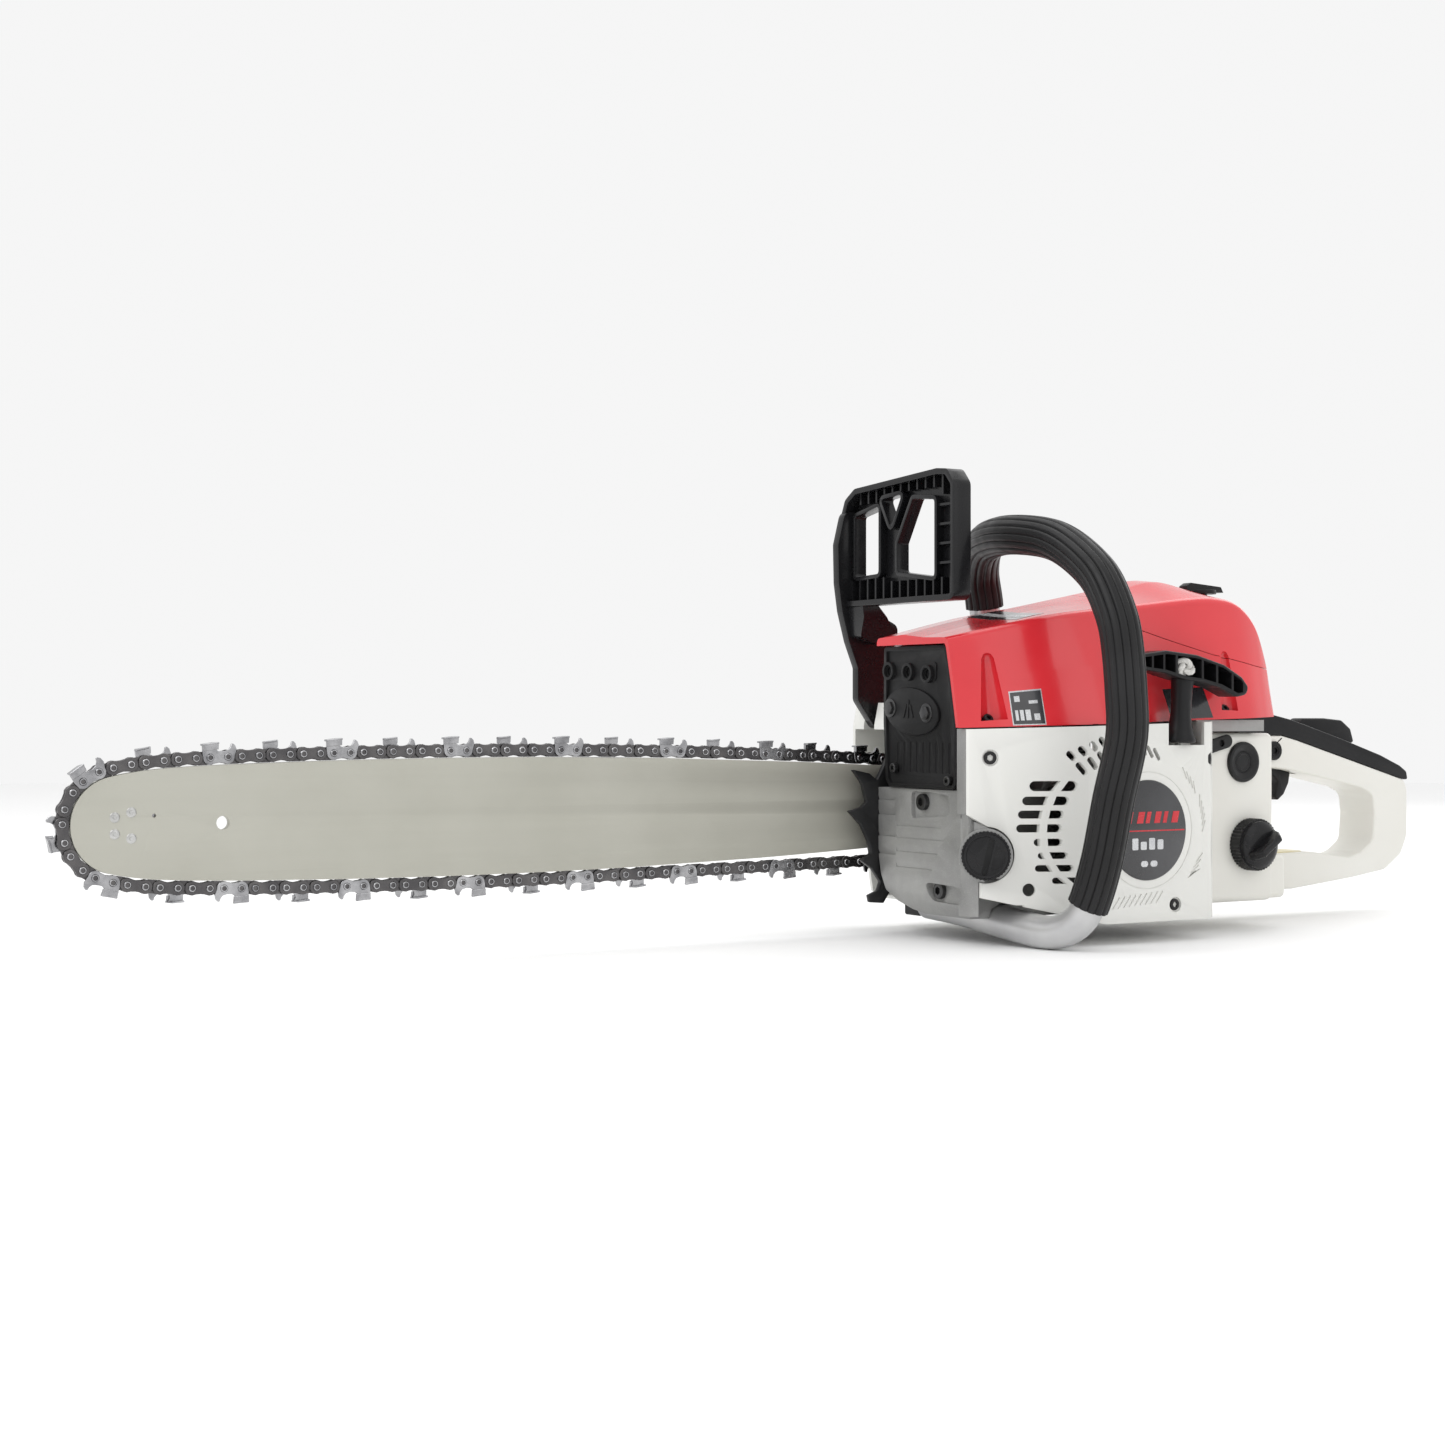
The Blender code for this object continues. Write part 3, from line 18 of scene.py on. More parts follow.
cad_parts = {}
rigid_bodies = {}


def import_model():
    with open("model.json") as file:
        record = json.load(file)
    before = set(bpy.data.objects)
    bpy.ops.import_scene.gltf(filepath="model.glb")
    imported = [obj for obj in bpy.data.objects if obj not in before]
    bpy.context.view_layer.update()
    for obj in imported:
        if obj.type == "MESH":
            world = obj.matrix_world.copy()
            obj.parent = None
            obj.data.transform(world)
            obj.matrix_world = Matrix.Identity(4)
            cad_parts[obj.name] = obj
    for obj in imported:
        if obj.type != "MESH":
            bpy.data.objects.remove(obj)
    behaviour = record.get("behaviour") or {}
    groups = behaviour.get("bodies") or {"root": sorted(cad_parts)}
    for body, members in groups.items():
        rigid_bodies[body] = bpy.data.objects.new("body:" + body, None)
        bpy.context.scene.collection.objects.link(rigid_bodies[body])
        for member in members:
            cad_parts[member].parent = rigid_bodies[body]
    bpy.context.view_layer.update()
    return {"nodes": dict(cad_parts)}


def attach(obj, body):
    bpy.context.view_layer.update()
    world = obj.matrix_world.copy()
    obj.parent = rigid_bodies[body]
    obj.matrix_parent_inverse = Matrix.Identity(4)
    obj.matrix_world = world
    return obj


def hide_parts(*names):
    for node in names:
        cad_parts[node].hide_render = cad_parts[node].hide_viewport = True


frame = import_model()
LOG = logging.getLogger("chainsaw")

Point2 = tuple[float, float]
Point3 = tuple[float, float, float]
Outline = Sequence[Point2]

# ---------------------------------------------------------------- driving dimensions, metres
CRANK_Z = 0.050
BAR_Y, BAR_Z = 0.045, 0.060
PITCH = 0.008255
RIVETS = 152
SPROCKET_R = 8 * 2 * PITCH / (2 * math.pi)
NOSE_R = 0.0284
BAR_SPAN = 0.517
RAIL_INSET = 0.0039
COVER_Y = -0.090
HANDLE_HALF = 0.0155


class Plane(Enum):
    """The plane that a flat outline is drawn in."""

    XY = "XY"
    XZ = "XZ"
    YZ = "YZ"


STAND: dict[Plane, Matrix] = {
    Plane.XY: Matrix.Identity(4),
    Plane.XZ: Matrix(((1, 0, 0, 0), (0, 0, 1, 0), (0, 1, 0, 0), (0, 0, 0, 1))),
    Plane.YZ: Matrix(((0, 0, 1, 0), (1, 0, 0, 0), (0, 1, 0, 0), (0, 0, 0, 1))),
}


class Body(str, Enum):
    """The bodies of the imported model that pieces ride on."""

    FRAME = "saw_frame"
    GUARD = "hand_guard"
    TRIGGER = "throttle_trigger"
    LOCKOUT = "throttle_lockout"
    GRIP = "starter_grip"
    FUEL_CAP = "fuel_cap"
    OIL_CAP = "oil_cap"
    KNOB = "filter_cover_knob"
    CHOKE = "choke_knob"
    SWITCH = "stop_switch"


# ---------------------------------------------------------------- finishes
@dataclass(frozen=True)
class Finish:
    """One surface finish: its colours, gloss, grain and flecks.

    Each pattern is in metres on object coordinates, so a scale of 900 has cells about 1 mm wide.
    """

    name: str
    colour: Point3
    shade: Point3
    rough: Point2
    metal: float = 0.0
    blotch: float = 18.0
    grain: float = 900.0
    bump: float = 0.05
    bump_depth: float = 0.0002
    stretch: Point3 = (1.0, 1.0, 1.0)
    speck: float = 0.0
    speck_colour: Point3 = (0.1, 0.1, 0.1)
    coat: float = 0.0
    sheen: float = 0.0
    specular: float = 0.5
    _made: dict[str, bpy.types.Material] = field(default_factory=dict, compare=False, hash=False)

    def material(self) -> bpy.types.Material:
        """Build the node tree once, and give the same material after that.

        Returns:
            The finished material.
        """
        if self.name in self._made:
            return self._made[self.name]
        made = bpy.data.materials.new(self.name)
        made.use_nodes = True
        nodes, links = made.node_tree.nodes, made.node_tree.links
        shader = nodes["Principled BSDF"]
        shader.inputs["Metallic"].default_value = self.metal
        shader.inputs["Specular IOR Level"].default_value = self.specular
        shader.inputs["Coat Weight"].default_value = self.coat
        shader.inputs["Coat Roughness"].default_value = 0.08
        shader.inputs["Sheen Weight"].default_value = self.sheen
        place = nodes.new("ShaderNodeTexCoord")
        turn = nodes.new("ShaderNodeMapping")
        turn.inputs["Scale"].default_value = self.stretch
        links.new(place.outputs["Object"], turn.inputs["Vector"])

        blotch = self._noise(nodes, links, place.outputs["Object"], self.blotch, 4.0)
        mix = nodes.new("ShaderNodeMix")
        mix.data_type = "RGBA"
        mix.inputs["A"].default_value = (*self.colour, 1.0)
        mix.inputs["B"].default_value = (*self.shade, 1.0)
        spread = self._ramp(nodes, links, blotch, 0.38, 0.66)
        links.new(spread, mix.inputs["Factor"])
        colour = mix.outputs["Result"]

        grain = self._noise(nodes, links, turn.outputs["Vector"], self.grain, 3.0)
        if self.speck > 0.0:
            fleck = nodes.new("ShaderNodeMix")
            fleck.data_type = "RGBA"
            fleck.inputs["B"].default_value = (*self.speck_colour, 1.0)
            links.new(colour, fleck.inputs["A"])
            links.new(self._ramp(nodes, links, grain, 0.68 - 0.2 * self.speck, 0.78), fleck.inputs["Factor"])
            colour = fleck.outputs["Result"]
        links.new(colour, shader.inputs["Base Color"])

        gloss = nodes.new("ShaderNodeMapRange")
        gloss.inputs["From Min"].default_value = 0.3
        gloss.inputs["From Max"].default_value = 0.7
        gloss.inputs["To Min"].default_value = self.rough[0]
        gloss.inputs["To Max"].default_value = self.rough[1]
        streak = self._noise(nodes, links, turn.outputs["Vector"], self.blotch * 6.0, 5.0)
        links.new(streak, gloss.inputs["Value"])
        links.new(gloss.outputs["Result"], shader.inputs["Roughness"])

        relief = nodes.new("ShaderNodeBump")
        relief.inputs["Strength"].default_value = self.bump
        relief.inputs["Distance"].default_value = self.bump_depth
        links.new(grain, relief.inputs["Height"])
        links.new(relief.outputs["Normal"], shader.inputs["Normal"])
        self._made[self.name] = made
        return made

    @staticmethod
    def _noise(
        nodes: bpy.types.Nodes, links: bpy.types.NodeLinks, source: bpy.types.NodeSocket, scale: float,
        detail: float,
    ) -> bpy.types.NodeSocket:
        """Add one noise pattern.

        Args:
            nodes: The material's nodes.
            links: The material's links.
            source: Coordinates that the pattern reads.
            scale: Cells per metre.
            detail: Octaves.

        Returns:
            The pattern's grey value.
        """
        noise = nodes.new("ShaderNodeTexNoise")
        noise.inputs["Scale"].default_value = scale
        noise.inputs["Detail"].default_value = detail
        links.new(source, noise.inputs["Vector"])
        return noise.outputs["Fac"]

    @staticmethod
    def _ramp(
        nodes: bpy.types.Nodes, links: bpy.types.NodeLinks, value: bpy.types.NodeSocket, low: float,
        high: float,
    ) -> bpy.types.NodeSocket:
        """Spread a grey value between two limits.

        Args:
            nodes: The material's nodes.
            links: The material's links.
            value: The grey value.
            low: Value that becomes 0.
            high: Value that becomes 1.

        Returns:
            The spread value.
        """
        spread = nodes.new("ShaderNodeMapRange")
        spread.inputs["From Min"].default_value = low
        spread.inputs["From Max"].default_value = high
        links.new(value, spread.inputs["Value"])
        return spread.outputs["Result"]


RED = Finish(
    "red_gloss_plastic", (0.70, 0.030, 0.040), (0.60, 0.020, 0.030), (0.16, 0.26), blotch=9.0,
    grain=420.0, bump=0.05, coat=0.35,
)
WHITE = Finish(
    "white_moulded_plastic", (0.76, 0.76, 0.73), (0.73, 0.73, 0.695), (0.28, 0.42), blotch=12.0,
    grain=1500.0, bump=0.06,
)
HANDLE_WHITE = Finish(
    "white_handle_plastic", (0.77, 0.765, 0.72), (0.74, 0.73, 0.68), (0.32, 0.46), blotch=10.0,
    grain=1300.0, bump=0.06,
)
YELLOWED = Finish(
    "translucent_tank_plastic", (0.74, 0.66, 0.40), (0.80, 0.75, 0.56), (0.30, 0.42), blotch=40.0,
    grain=1300.0, bump=0.05,
)
BLACK = Finish(
    "black_satin_plastic", (0.008, 0.008, 0.009), (0.012, 0.012, 0.013), (0.30, 0.46), blotch=30.0,
    grain=1700.0, bump=0.10, specular=0.24,
)
BLACK_GLOSS = Finish(
    "black_gloss_plastic", (0.007, 0.007, 0.008), (0.011, 0.011, 0.012), (0.20, 0.32), blotch=22.0,
    grain=1300.0, bump=0.06, coat=0.08, specular=0.26,
)
RUBBER = Finish(
    "ribbed_grip_rubber", (0.012, 0.012, 0.0125), (0.018, 0.018, 0.019), (0.34, 0.50), blotch=24.0,
    grain=1900.0, bump=0.15, specular=0.26,
)
CAST = Finish(
    "cast_alloy", (0.30, 0.30, 0.295), (0.38, 0.38, 0.37), (0.42, 0.60), metal=0.55, blotch=26.0,
    grain=1500.0, bump=0.55, bump_depth=0.0004, speck=0.4, speck_colour=(0.46, 0.46, 0.45),
)
MACHINED = Finish(
    "machined_alloy", (0.56, 0.56, 0.55), (0.46, 0.46, 0.45), (0.24, 0.38), metal=0.95,
    stretch=(1.0, 1.0, 12.0), bump=0.10,
)
TUBE = Finish(
    "satin_tube_alloy", (0.60, 0.60, 0.60), (0.50, 0.50, 0.51), (0.30, 0.42), metal=0.75, blotch=30.0,
    grain=900.0, stretch=(1.0, 1.0, 6.0), bump=0.12,
)
BAR_STEEL = Finish(
    "satin_bar_steel", (0.46, 0.455, 0.40), (0.42, 0.415, 0.36), (0.46, 0.58), metal=0.30, blotch=12.0,
    grain=700.0, stretch=(0.12, 1.0, 3.0), bump=0.10,
)
LINK_STEEL = Finish(
    "blued_link_steel", (0.085, 0.082, 0.085), (0.13, 0.125, 0.125), (0.24, 0.40), metal=0.9,
    blotch=90.0, grain=1500.0, bump=0.12,
)
CHROME = Finish(
    "plated_cutter_steel", (0.42, 0.42, 0.43), (0.24, 0.24, 0.25), (0.14, 0.30), metal=1.0,
    blotch=110.0, grain=1400.0, bump=0.06,
)
DARK_STEEL = Finish(
    "oiled_dark_steel", (0.05, 0.05, 0.052), (0.10, 0.10, 0.10), (0.26, 0.42), metal=0.9, blotch=60.0,
    grain=1500.0, bump=0.15,
)
BLACK_STEEL = Finish(
    "black_coated_steel", (0.012, 0.012, 0.013), (0.020, 0.020, 0.021), (0.32, 0.46), metal=0.15,
    blotch=35.0, grain=1100.0, bump=0.16, specular=0.35,
)
HOT_BLACK = Finish(
    "heatproof_black_paint", (0.009, 0.009, 0.0095), (0.014, 0.014, 0.015), (0.40, 0.55), metal=0.1,
    blotch=24.0, grain=1400.0, bump=0.22, specular=0.22,
)
FILM = Finish(
    "badge_film", (0.014, 0.014, 0.016), (0.035, 0.036, 0.040), (0.12, 0.22), blotch=26.0, grain=300.0,
    bump=0.02, coat=0.5,
)
PALE_FILM = Finish(
    "pale_label_film", (0.62, 0.63, 0.64), (0.50, 0.51, 0.53), (0.20, 0.32), metal=0.3, blotch=60.0,
    grain=600.0, bump=0.03,
)
RED_INK = Finish(
    "red_badge_ink", (0.62, 0.03, 0.04), (0.52, 0.02, 0.03), (0.2, 0.3), blotch=80.0, grain=700.0,
    bump=0.02,
)
ROPE = Finish(
    "braided_rope", (0.74, 0.73, 0.70), (0.56, 0.55, 0.52), (0.75, 0.9), blotch=500.0, grain=2400.0,
    bump=0.8, bump_depth=0.0004, sheen=0.3,
)
FELT = Finish(
    "filter_felt", (0.50, 0.45, 0.30), (0.42, 0.37, 0.24), (0.85, 0.95), blotch=60.0, grain=2200.0,
    bump=0.6, bump_depth=0.0005, sheen=0.2,
)

CAD_FINISHES: dict[Finish, Sequence[str]] = {
    MACHINED: ("cylinder", "piston", "crank_half_left", "crank_half_right", "flywheel", "carburetor"),
    CAST: ("carburetor_tray", "oil_pump", "handle_bracket"),
    CHROME: (
        "piston_pin", "crank_pin", "main_bearing_left", "main_bearing_right", "spark_plug",
        "nose_sprocket", "tensioner_screw", "guard_pivot_pin",
    ),
    DARK_STEEL: (
        "connecting_rod", "muffler", "drive_sprocket", "clutch_drum", "clutch_hub", "bar_nut_1",
        "bar_nut_2", "tensioner_pin", "recoil_spring",
    ),
    BAR_STEEL: ("brake_band",),
    BLACK: ("ignition_coil", "chain_catcher", "starter_pulley"),
    RUBBER: ("intake_boot",),
    ROPE: ("rope_winding", "starter_rope"),
    FELT: ("air_filter",),
}


# ---------------------------------------------------------------- workshop
class Shop:
    """The few moves that every piece is made with."""

    @staticmethod
    def clear() -> None:
        """Deselect every object and leave edit mode."""
        if bpy.context.object and bpy.context.object.mode != "OBJECT":
            bpy.ops.object.mode_set(mode="OBJECT")
        for thing in bpy.context.view_layer.objects:
            thing.select_set(False)

    @staticmethod
    def take(thing: bpy.types.Object) -> bpy.types.Object:
        """Select one object only and make it active.

        Args:
            thing: The object.

        Returns:
            The same object.
        """
        Shop.clear()
        thing.select_set(True)
        bpy.context.view_layer.objects.active = thing
        return thing

    @staticmethod
    @contextmanager
    def editing(thing: bpy.types.Object, everything: bool = True) -> Iterator[None]:
        """Work on one object in edit mode.

        Args:
            thing: The object.
            everything: Select all of its mesh first, or none of it.

        Yields:
            Nothing; the operators act inside the block.
        """
        Shop.take(thing)
        bpy.ops.object.mode_set(mode="EDIT")
        bpy.ops.mesh.select_all(action="SELECT" if everything else "DESELECT")
        yield
        bpy.ops.object.mode_set(mode="OBJECT")

    @staticmethod
    def named(thing: bpy.types.Object, name: str) -> bpy.types.Object:
        """Name an object and its mesh."""
        thing.name = name
        thing.data.name = name
        return thing

    @staticmethod
    def settle(thing: bpy.types.Object) -> bpy.types.Object:
        """Move the object's place into its mesh."""
        Shop.take(thing)
        bpy.ops.object.transform_apply(location=True, rotation=True, scale=True)
        return thing

    @staticmethod
    def outward(thing: bpy.types.Object, weld: float = 1e-6) -> bpy.types.Object:
        """Merge doubles and turn every face outwards.

        Args:
            thing: The object.
            weld: Distance within which points are merged.

        Returns:
            The same object.
        """
        with Shop.editing(thing):
            bpy.ops.mesh.remove_doubles(threshold=weld)
            bpy.ops.mesh.normals_make_consistent(inside=False)
        return thing

    @staticmethod
    def slab(
        name: str, outline: Outline, plane: Plane, low: float, high: float, holes: Sequence[Outline] = (),
    ) -> bpy.types.Object:
        """A flat outline filled and pulled to a thickness, with holes cut through.

        Args:
            name: The object's name.
            outline: The outline's points in order.
            plane: The plane it is drawn in.
            low: Where it starts across that plane.
            high: Where it ends.
            holes: Outlines of the holes.

        Returns:
            The object.
        """
        bpy.ops.mesh.primitive_circle_add(vertices=len(outline), radius=1.0, fill_type="NOTHING")
        made = Shop.named(bpy.context.object, name)
        for vertex, (x, y) in zip(made.data.vertices, outline):
            vertex.co = (x, y, low)
        with Shop.editing(made):
            bpy.ops.mesh.edge_face_add()
            bpy.ops.mesh.extrude_region_move(TRANSFORM_OT_translate={"value": (0, 0, high - low)})
        made.data.transform(STAND[plane])
        Shop.outward(made)
        for hole in holes:
            Shop.carve(made, Shop.slab("hole", hole, plane, low - 0.002, high + 0.002))
        return made

    @staticmethod
    def rod(
        name: str, start: Point3, way: Point3, length: float, radius: float, sides: int = 32,
    ) -> bpy.types.Object:
        """A round bar from a point along a direction.

        Args:
            name: The object's name.
            start: Centre of its first end.
            way: Direction.
            length: Length.
            radius: Radius.
            sides: Sides of the circle.

        Returns:
            The object.
        """
        along = Vector(way).normalized()
        bpy.ops.mesh.primitive_cone_add(
            vertices=sides, radius1=radius, radius2=radius, depth=length,
            location=Vector(start) + along * length / 2,
            rotation=Vector((0, 0, 1)).rotation_difference(along).to_euler(),
        )
        return Shop.settle(Shop.named(bpy.context.object, name))

    @staticmethod
    def block(name: str, low: Point3, high: Point3) -> bpy.types.Object:
        """A block between two corners."""
        middle = [(a + b) / 2 for a, b in zip(low, high)]
        bpy.ops.mesh.primitive_cube_add(size=1.0, location=middle, scale=[b - a for a, b in zip(low, high)])
        return Shop.settle(Shop.named(bpy.context.object, name))

    @staticmethod
    def lathe(
        name: str, profile: Outline, start: Point3, way: Point3, steps: int = 40,
    ) -> bpy.types.Object:
        """A profile of (radius, height) points spun about a direction.

        Args:
            name: The object's name.
            profile: Points from the axis outwards and back to it.
            start: Where height 0 lies.
            way: The axis's direction.
            steps: Steps of the turn.

        Returns:
            The object.
        """
        bpy.ops.mesh.primitive_circle_add(vertices=len(profile), radius=1.0, fill_type="NOTHING")
        made = Shop.named(bpy.context.object, name)
        for vertex, (radius, height) in zip(made.data.vertices, profile):
            vertex.co = (radius, 0.0, height)
        with Shop.editing(made):
            bpy.ops.mesh.spin(steps=steps, angle=2 * math.pi, center=(0, 0, 0), axis=(0, 0, 1))
            bpy.ops.mesh.remove_doubles(threshold=2e-6)
        turn = Vector((0, 0, 1)).rotation_difference(Vector(way).normalized()).to_matrix().to_4x4()
        made.data.transform(Matrix.Translation(start) @ turn)
        Shop.drop_inner_faces(made)
        return Shop.outward(made)

    @staticmethod
    def sweep(
        name: str, route: Sequence[Vector], section: Outline, twist: float = 0.0,
    ) -> bpy.types.Object:
        """A closed section drawn along a route, with closed ends.

        Args:
            name: The object's name.
            route: Points of the route.
            section: The section's outline.
            twist: Turns the section this many radians over the whole route.

        Returns:
            The object.
        """
        profile = Shop.line("section", [Vector((x, y, 0.0)) for x, y in section], True)
        path = Shop.line(name, route, False)
        for index, point in enumerate(path.data.splines[0].points):
            point.tilt = twist * index / len(route)
        path.data.twist_mode = "MINIMUM"
        path.data.bevel_mode = "OBJECT"
        path.data.bevel_object = profile
        path.data.use_fill_caps = True
        Shop.take(path)
        bpy.ops.object.convert(target="MESH")
        made = Shop.named(bpy.context.object, name)
        bpy.data.objects.remove(profile, do_unlink=True)
        return Shop.outward(made)

    @staticmethod
    def line(name: str, points: Sequence[Vector], closed: bool) -> bpy.types.Object:
        """A straight-edged curve through points."""
        data = bpy.data.curves.new(name, "CURVE")
        data.dimensions = "3D"
        spline = data.splines.new("POLY")
        spline.points.add(len(points) - 1)
        for point, place in zip(spline.points, points):
            point.co = (*place, 1.0)
        spline.use_cyclic_u = closed
        made = bpy.data.objects.new(name, data)
        bpy.context.scene.collection.objects.link(made)
        return made

    @staticmethod
    def drop_inner_faces(thing: bpy.types.Object) -> None:
        """Delete faces and edges of no size that a spin about its own edge leaves."""
        with Shop.editing(thing):
            bpy.ops.mesh.dissolve_degenerate(threshold=1e-7)
            bpy.ops.mesh.select_all(action="DESELECT")
            bpy.ops.mesh.select_non_manifold(extend=False, use_wire=True, use_boundary=False,
                                             use_multi_face=False, use_non_contiguous=False, use_verts=False)
            bpy.ops.mesh.delete(type="EDGE")

    @staticmethod
    def modify(thing: bpy.types.Object, kind: str, **settings: object) -> bpy.types.Object:
        """Add one modifier and apply it.

        Args:
            thing: The object.
            kind: The modifier's type.
            **settings: Its settings.

        Returns:
            The same object.
        """
        Shop.take(thing)
        step = thing.modifiers.new(kind.lower(), kind)
        for name, value in settings.items():
            setattr(step, name, value)
        bpy.ops.object.modifier_apply(modifier=step.name)
        return thing

    @staticmethod
    def is_closed(thing: bpy.types.Object) -> bool:
        """Whether every edge of a mesh joins exactly two faces."""
        mesh = bmesh.new()
        mesh.from_mesh(thing.data)
        closed = all(edge.is_manifold for edge in mesh.edges)
        mesh.free()
        return closed

    @staticmethod
    def boolean(thing: bpy.types.Object, tool: bpy.types.Object, operation: str) -> bpy.types.Object:
        """Combine two objects and remove the second; closed meshes take the quick solver."""
        solver = "MANIFOLD" if Shop.is_closed(thing) and Shop.is_closed(tool) else "EXACT"
        Shop.modify(thing, "BOOLEAN", object=tool, operation=operation, solver=solver)
        bpy.data.objects.remove(tool, do_unlink=True)
        return thing

    @staticmethod
    def carve(thing: bpy.types.Object, *tools: bpy.types.Object) -> bpy.types.Object:
        """Cut tools out of an object."""
        for tool in tools:
            Shop.boolean(thing, tool, "DIFFERENCE")
        return thing

    @staticmethod
    def fuse(thing: bpy.types.Object, *tools: bpy.types.Object) -> bpy.types.Object:
        """Join tools to an object in one skin."""
        for tool in tools:
            Shop.boolean(thing, tool, "UNION")
        return thing

    @staticmethod
    def gather(name: str, parts: Sequence[bpy.types.Object]) -> bpy.types.Object:
        """Join loose shapes into one object.

        Args:
            name: The object's name.
            parts: The shapes; the first one's materials come first.

        Returns:
            The joined object.
        """
        Shop.take(parts[0])
        for part in parts:
            part.select_set(True)
        bpy.ops.object.join()
        return Shop.named(bpy.context.object, name)

    @staticmethod
    def round_edges(
        thing: bpy.types.Object, width: float, segments: int = 2, angle: float = 30.0,
    ) -> bpy.types.Object:
        """Round the edges sharper than an angle, after clearing flat seams.

        Args:
            thing: The object.
            width: Width of the rounding.
            segments: Its steps.
            angle: Edges sharper than this, in degrees, are rounded.

        Returns:
            The same object.
        """
        with Shop.editing(thing):
            bpy.ops.mesh.remove_doubles(threshold=2e-6)
            bpy.ops.mesh.dissolve_limited(angle_limit=math.radians(0.6))
        Shop.modify(
            thing, "BEVEL", width=width, segments=segments, limit_method="ANGLE",
            angle_limit=math.radians(angle), use_clamp_overlap=True, miter_outer="MITER_ARC",
            harden_normals=False,
        )
        return Shop.smooth(thing)

    @staticmethod
    def smooth(thing: bpy.types.Object, angle: float = 32.0) -> bpy.types.Object:
        """Shade smooth, with a break at edges sharper than an angle."""
        Shop.take(thing)
        bpy.ops.object.shade_smooth_by_angle(angle=math.radians(angle))
        return thing

    @staticmethod
    def copy_of(node: str, name: str) -> bpy.types.Object:
        """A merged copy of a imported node's mesh, as a new object.

        Args:
            node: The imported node's name.
            name: The new object's name.

        Returns:
            The copy.
        """
        made = bpy.data.objects.new(name, frame["nodes"][node].data.copy())
        bpy.context.scene.collection.objects.link(made)
        made.data.materials.clear()
        with Shop.editing(made):
            bpy.ops.mesh.remove_doubles(threshold=2e-6)
            bpy.ops.mesh.dissolve_limited(angle_limit=math.radians(0.6))
        return made

    @staticmethod
    def dress(
        thing: bpy.types.Object, finish: Finish, body: Body, slot: str, *nodes: str,
    ) -> bpy.types.Object:
        """Give a piece its finish and its body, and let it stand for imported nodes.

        Args:
            thing: The piece.
            finish: Its finish.
            body: The body that it rides on.
            slot: The record's material slot; not used.
            *nodes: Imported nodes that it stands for.

        Returns:
            The piece.
        """
        if not any(thing.data.materials):
            thing.data.materials.clear()
            thing.data.materials.append(finish.material())
        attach(thing, body.value)
        if nodes:
            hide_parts(*nodes)
        LOG.info("%s: %d faces, on %s", thing.name, len(thing.data.polygons), body.value)
        return thing


# ---------------------------------------------------------------- flat geometry
def arc(centre: Point2, radius: float, start: float, stop: float, steps: int) -> list[Point2]:
    """Points on an arc, angles in degrees."""
    turns = [math.radians(start + (stop - start) * i / steps) for i in range(steps + 1)]
    return [(centre[0] + radius * math.cos(a), centre[1] + radius * math.sin(a)) for a in turns]


def ring(centre: Point2, radius: float, steps: int = 28) -> list[Point2]:
    """A closed circle of points."""
    return arc(centre, radius, 0, 360, steps)[:-1]


def pill(centre: Point2, length: float, width: float, turn: float = 0.0, steps: int = 8) -> list[Point2]:
    """A slot outline with round ends.

    Args:
        centre: Its middle.
        length: End to end.
        width: Across.
        turn: Turned by this many degrees.
        steps: Steps of each round end.

    Returns:
        The outline.
    """
    reach = max(length - width, 1e-6) / 2
    flat = arc((reach, 0), width / 2, -90, 90, steps) + arc((-reach, 0), width / 2, 90, 270, steps)
    c, s = math.cos(math.radians(turn)), math.sin(math.radians(turn))
    return [(centre[0] + x * c - y * s, centre[1] + x * s + y * c) for x, y in flat]


def filleted(corners: Outline, radius: float, steps: int = 5) -> list[Point2]:
    """Round the corners of an outline.

    Args:
        corners: The outline's corners in order.
        radius: Radius of the rounding.
        steps: Steps of each corner.

    Returns:
        The rounded outline.
    """
    out: list[Point2] = []
    count = len(corners)
    for i in range(count):
        here = Vector(corners[i])
        before, after = Vector(corners[i - 1]) - here, Vector(corners[(i + 1) % count]) - here
        turn = before.angle(after)
        if abs(turn - math.pi) < 0.05:
            out.append(tuple(here))
            continue
        back = min(radius / math.tan(turn / 2), 0.45 * before.length, 0.45 * after.length)
        first, last = here + before.normalized() * back, here + after.normalized() * back
        for k in range(steps + 1):
            t = k / steps
            out.append(tuple(first * (1 - t) ** 2 + here * (2 * t * (1 - t)) + last * t * t))
    return out


def grown(outline: Outline, by: float) -> list[Point2]:
    """Move every point of an anticlockwise outline outwards by a distance."""
    out: list[Point2] = []
    count = len(outline)
    for i in range(count):
        here = Vector(outline[i])
        first = (here - Vector(outline[i - 1])).normalized()
        second = (Vector(outline[(i + 1) % count]) - here).normalized()
        normal = Vector((first.y + second.y, -first.x - second.x))
        if normal.length < 1e-9:
            normal = Vector((first.y, -first.x))
        normal.normalize()
        reach = by / max(0.35, normal.dot(Vector((first.y, -first.x))))
        out.append(tuple(here + normal * reach))
    return out


def catmull(values: Sequence[Vector], t: float) -> Vector:
    """A smooth curve through points.

    Args:
        values: The points.
        t: From 0 at the first to the count less one at the last.

    Returns:
        The point at t.
    """
    index = min(int(t), len(values) - 2)
    k = t - index
    a = values[max(index - 1, 0)]
    b, c = values[index], values[index + 1]
    d = values[min(index + 2, len(values) - 1)]
    return 0.5 * (
        2 * b + (c - a) * k + (2 * a - 5 * b + 4 * c - d) * k * k + (3 * b - a - 3 * c + d) * k ** 3
    )


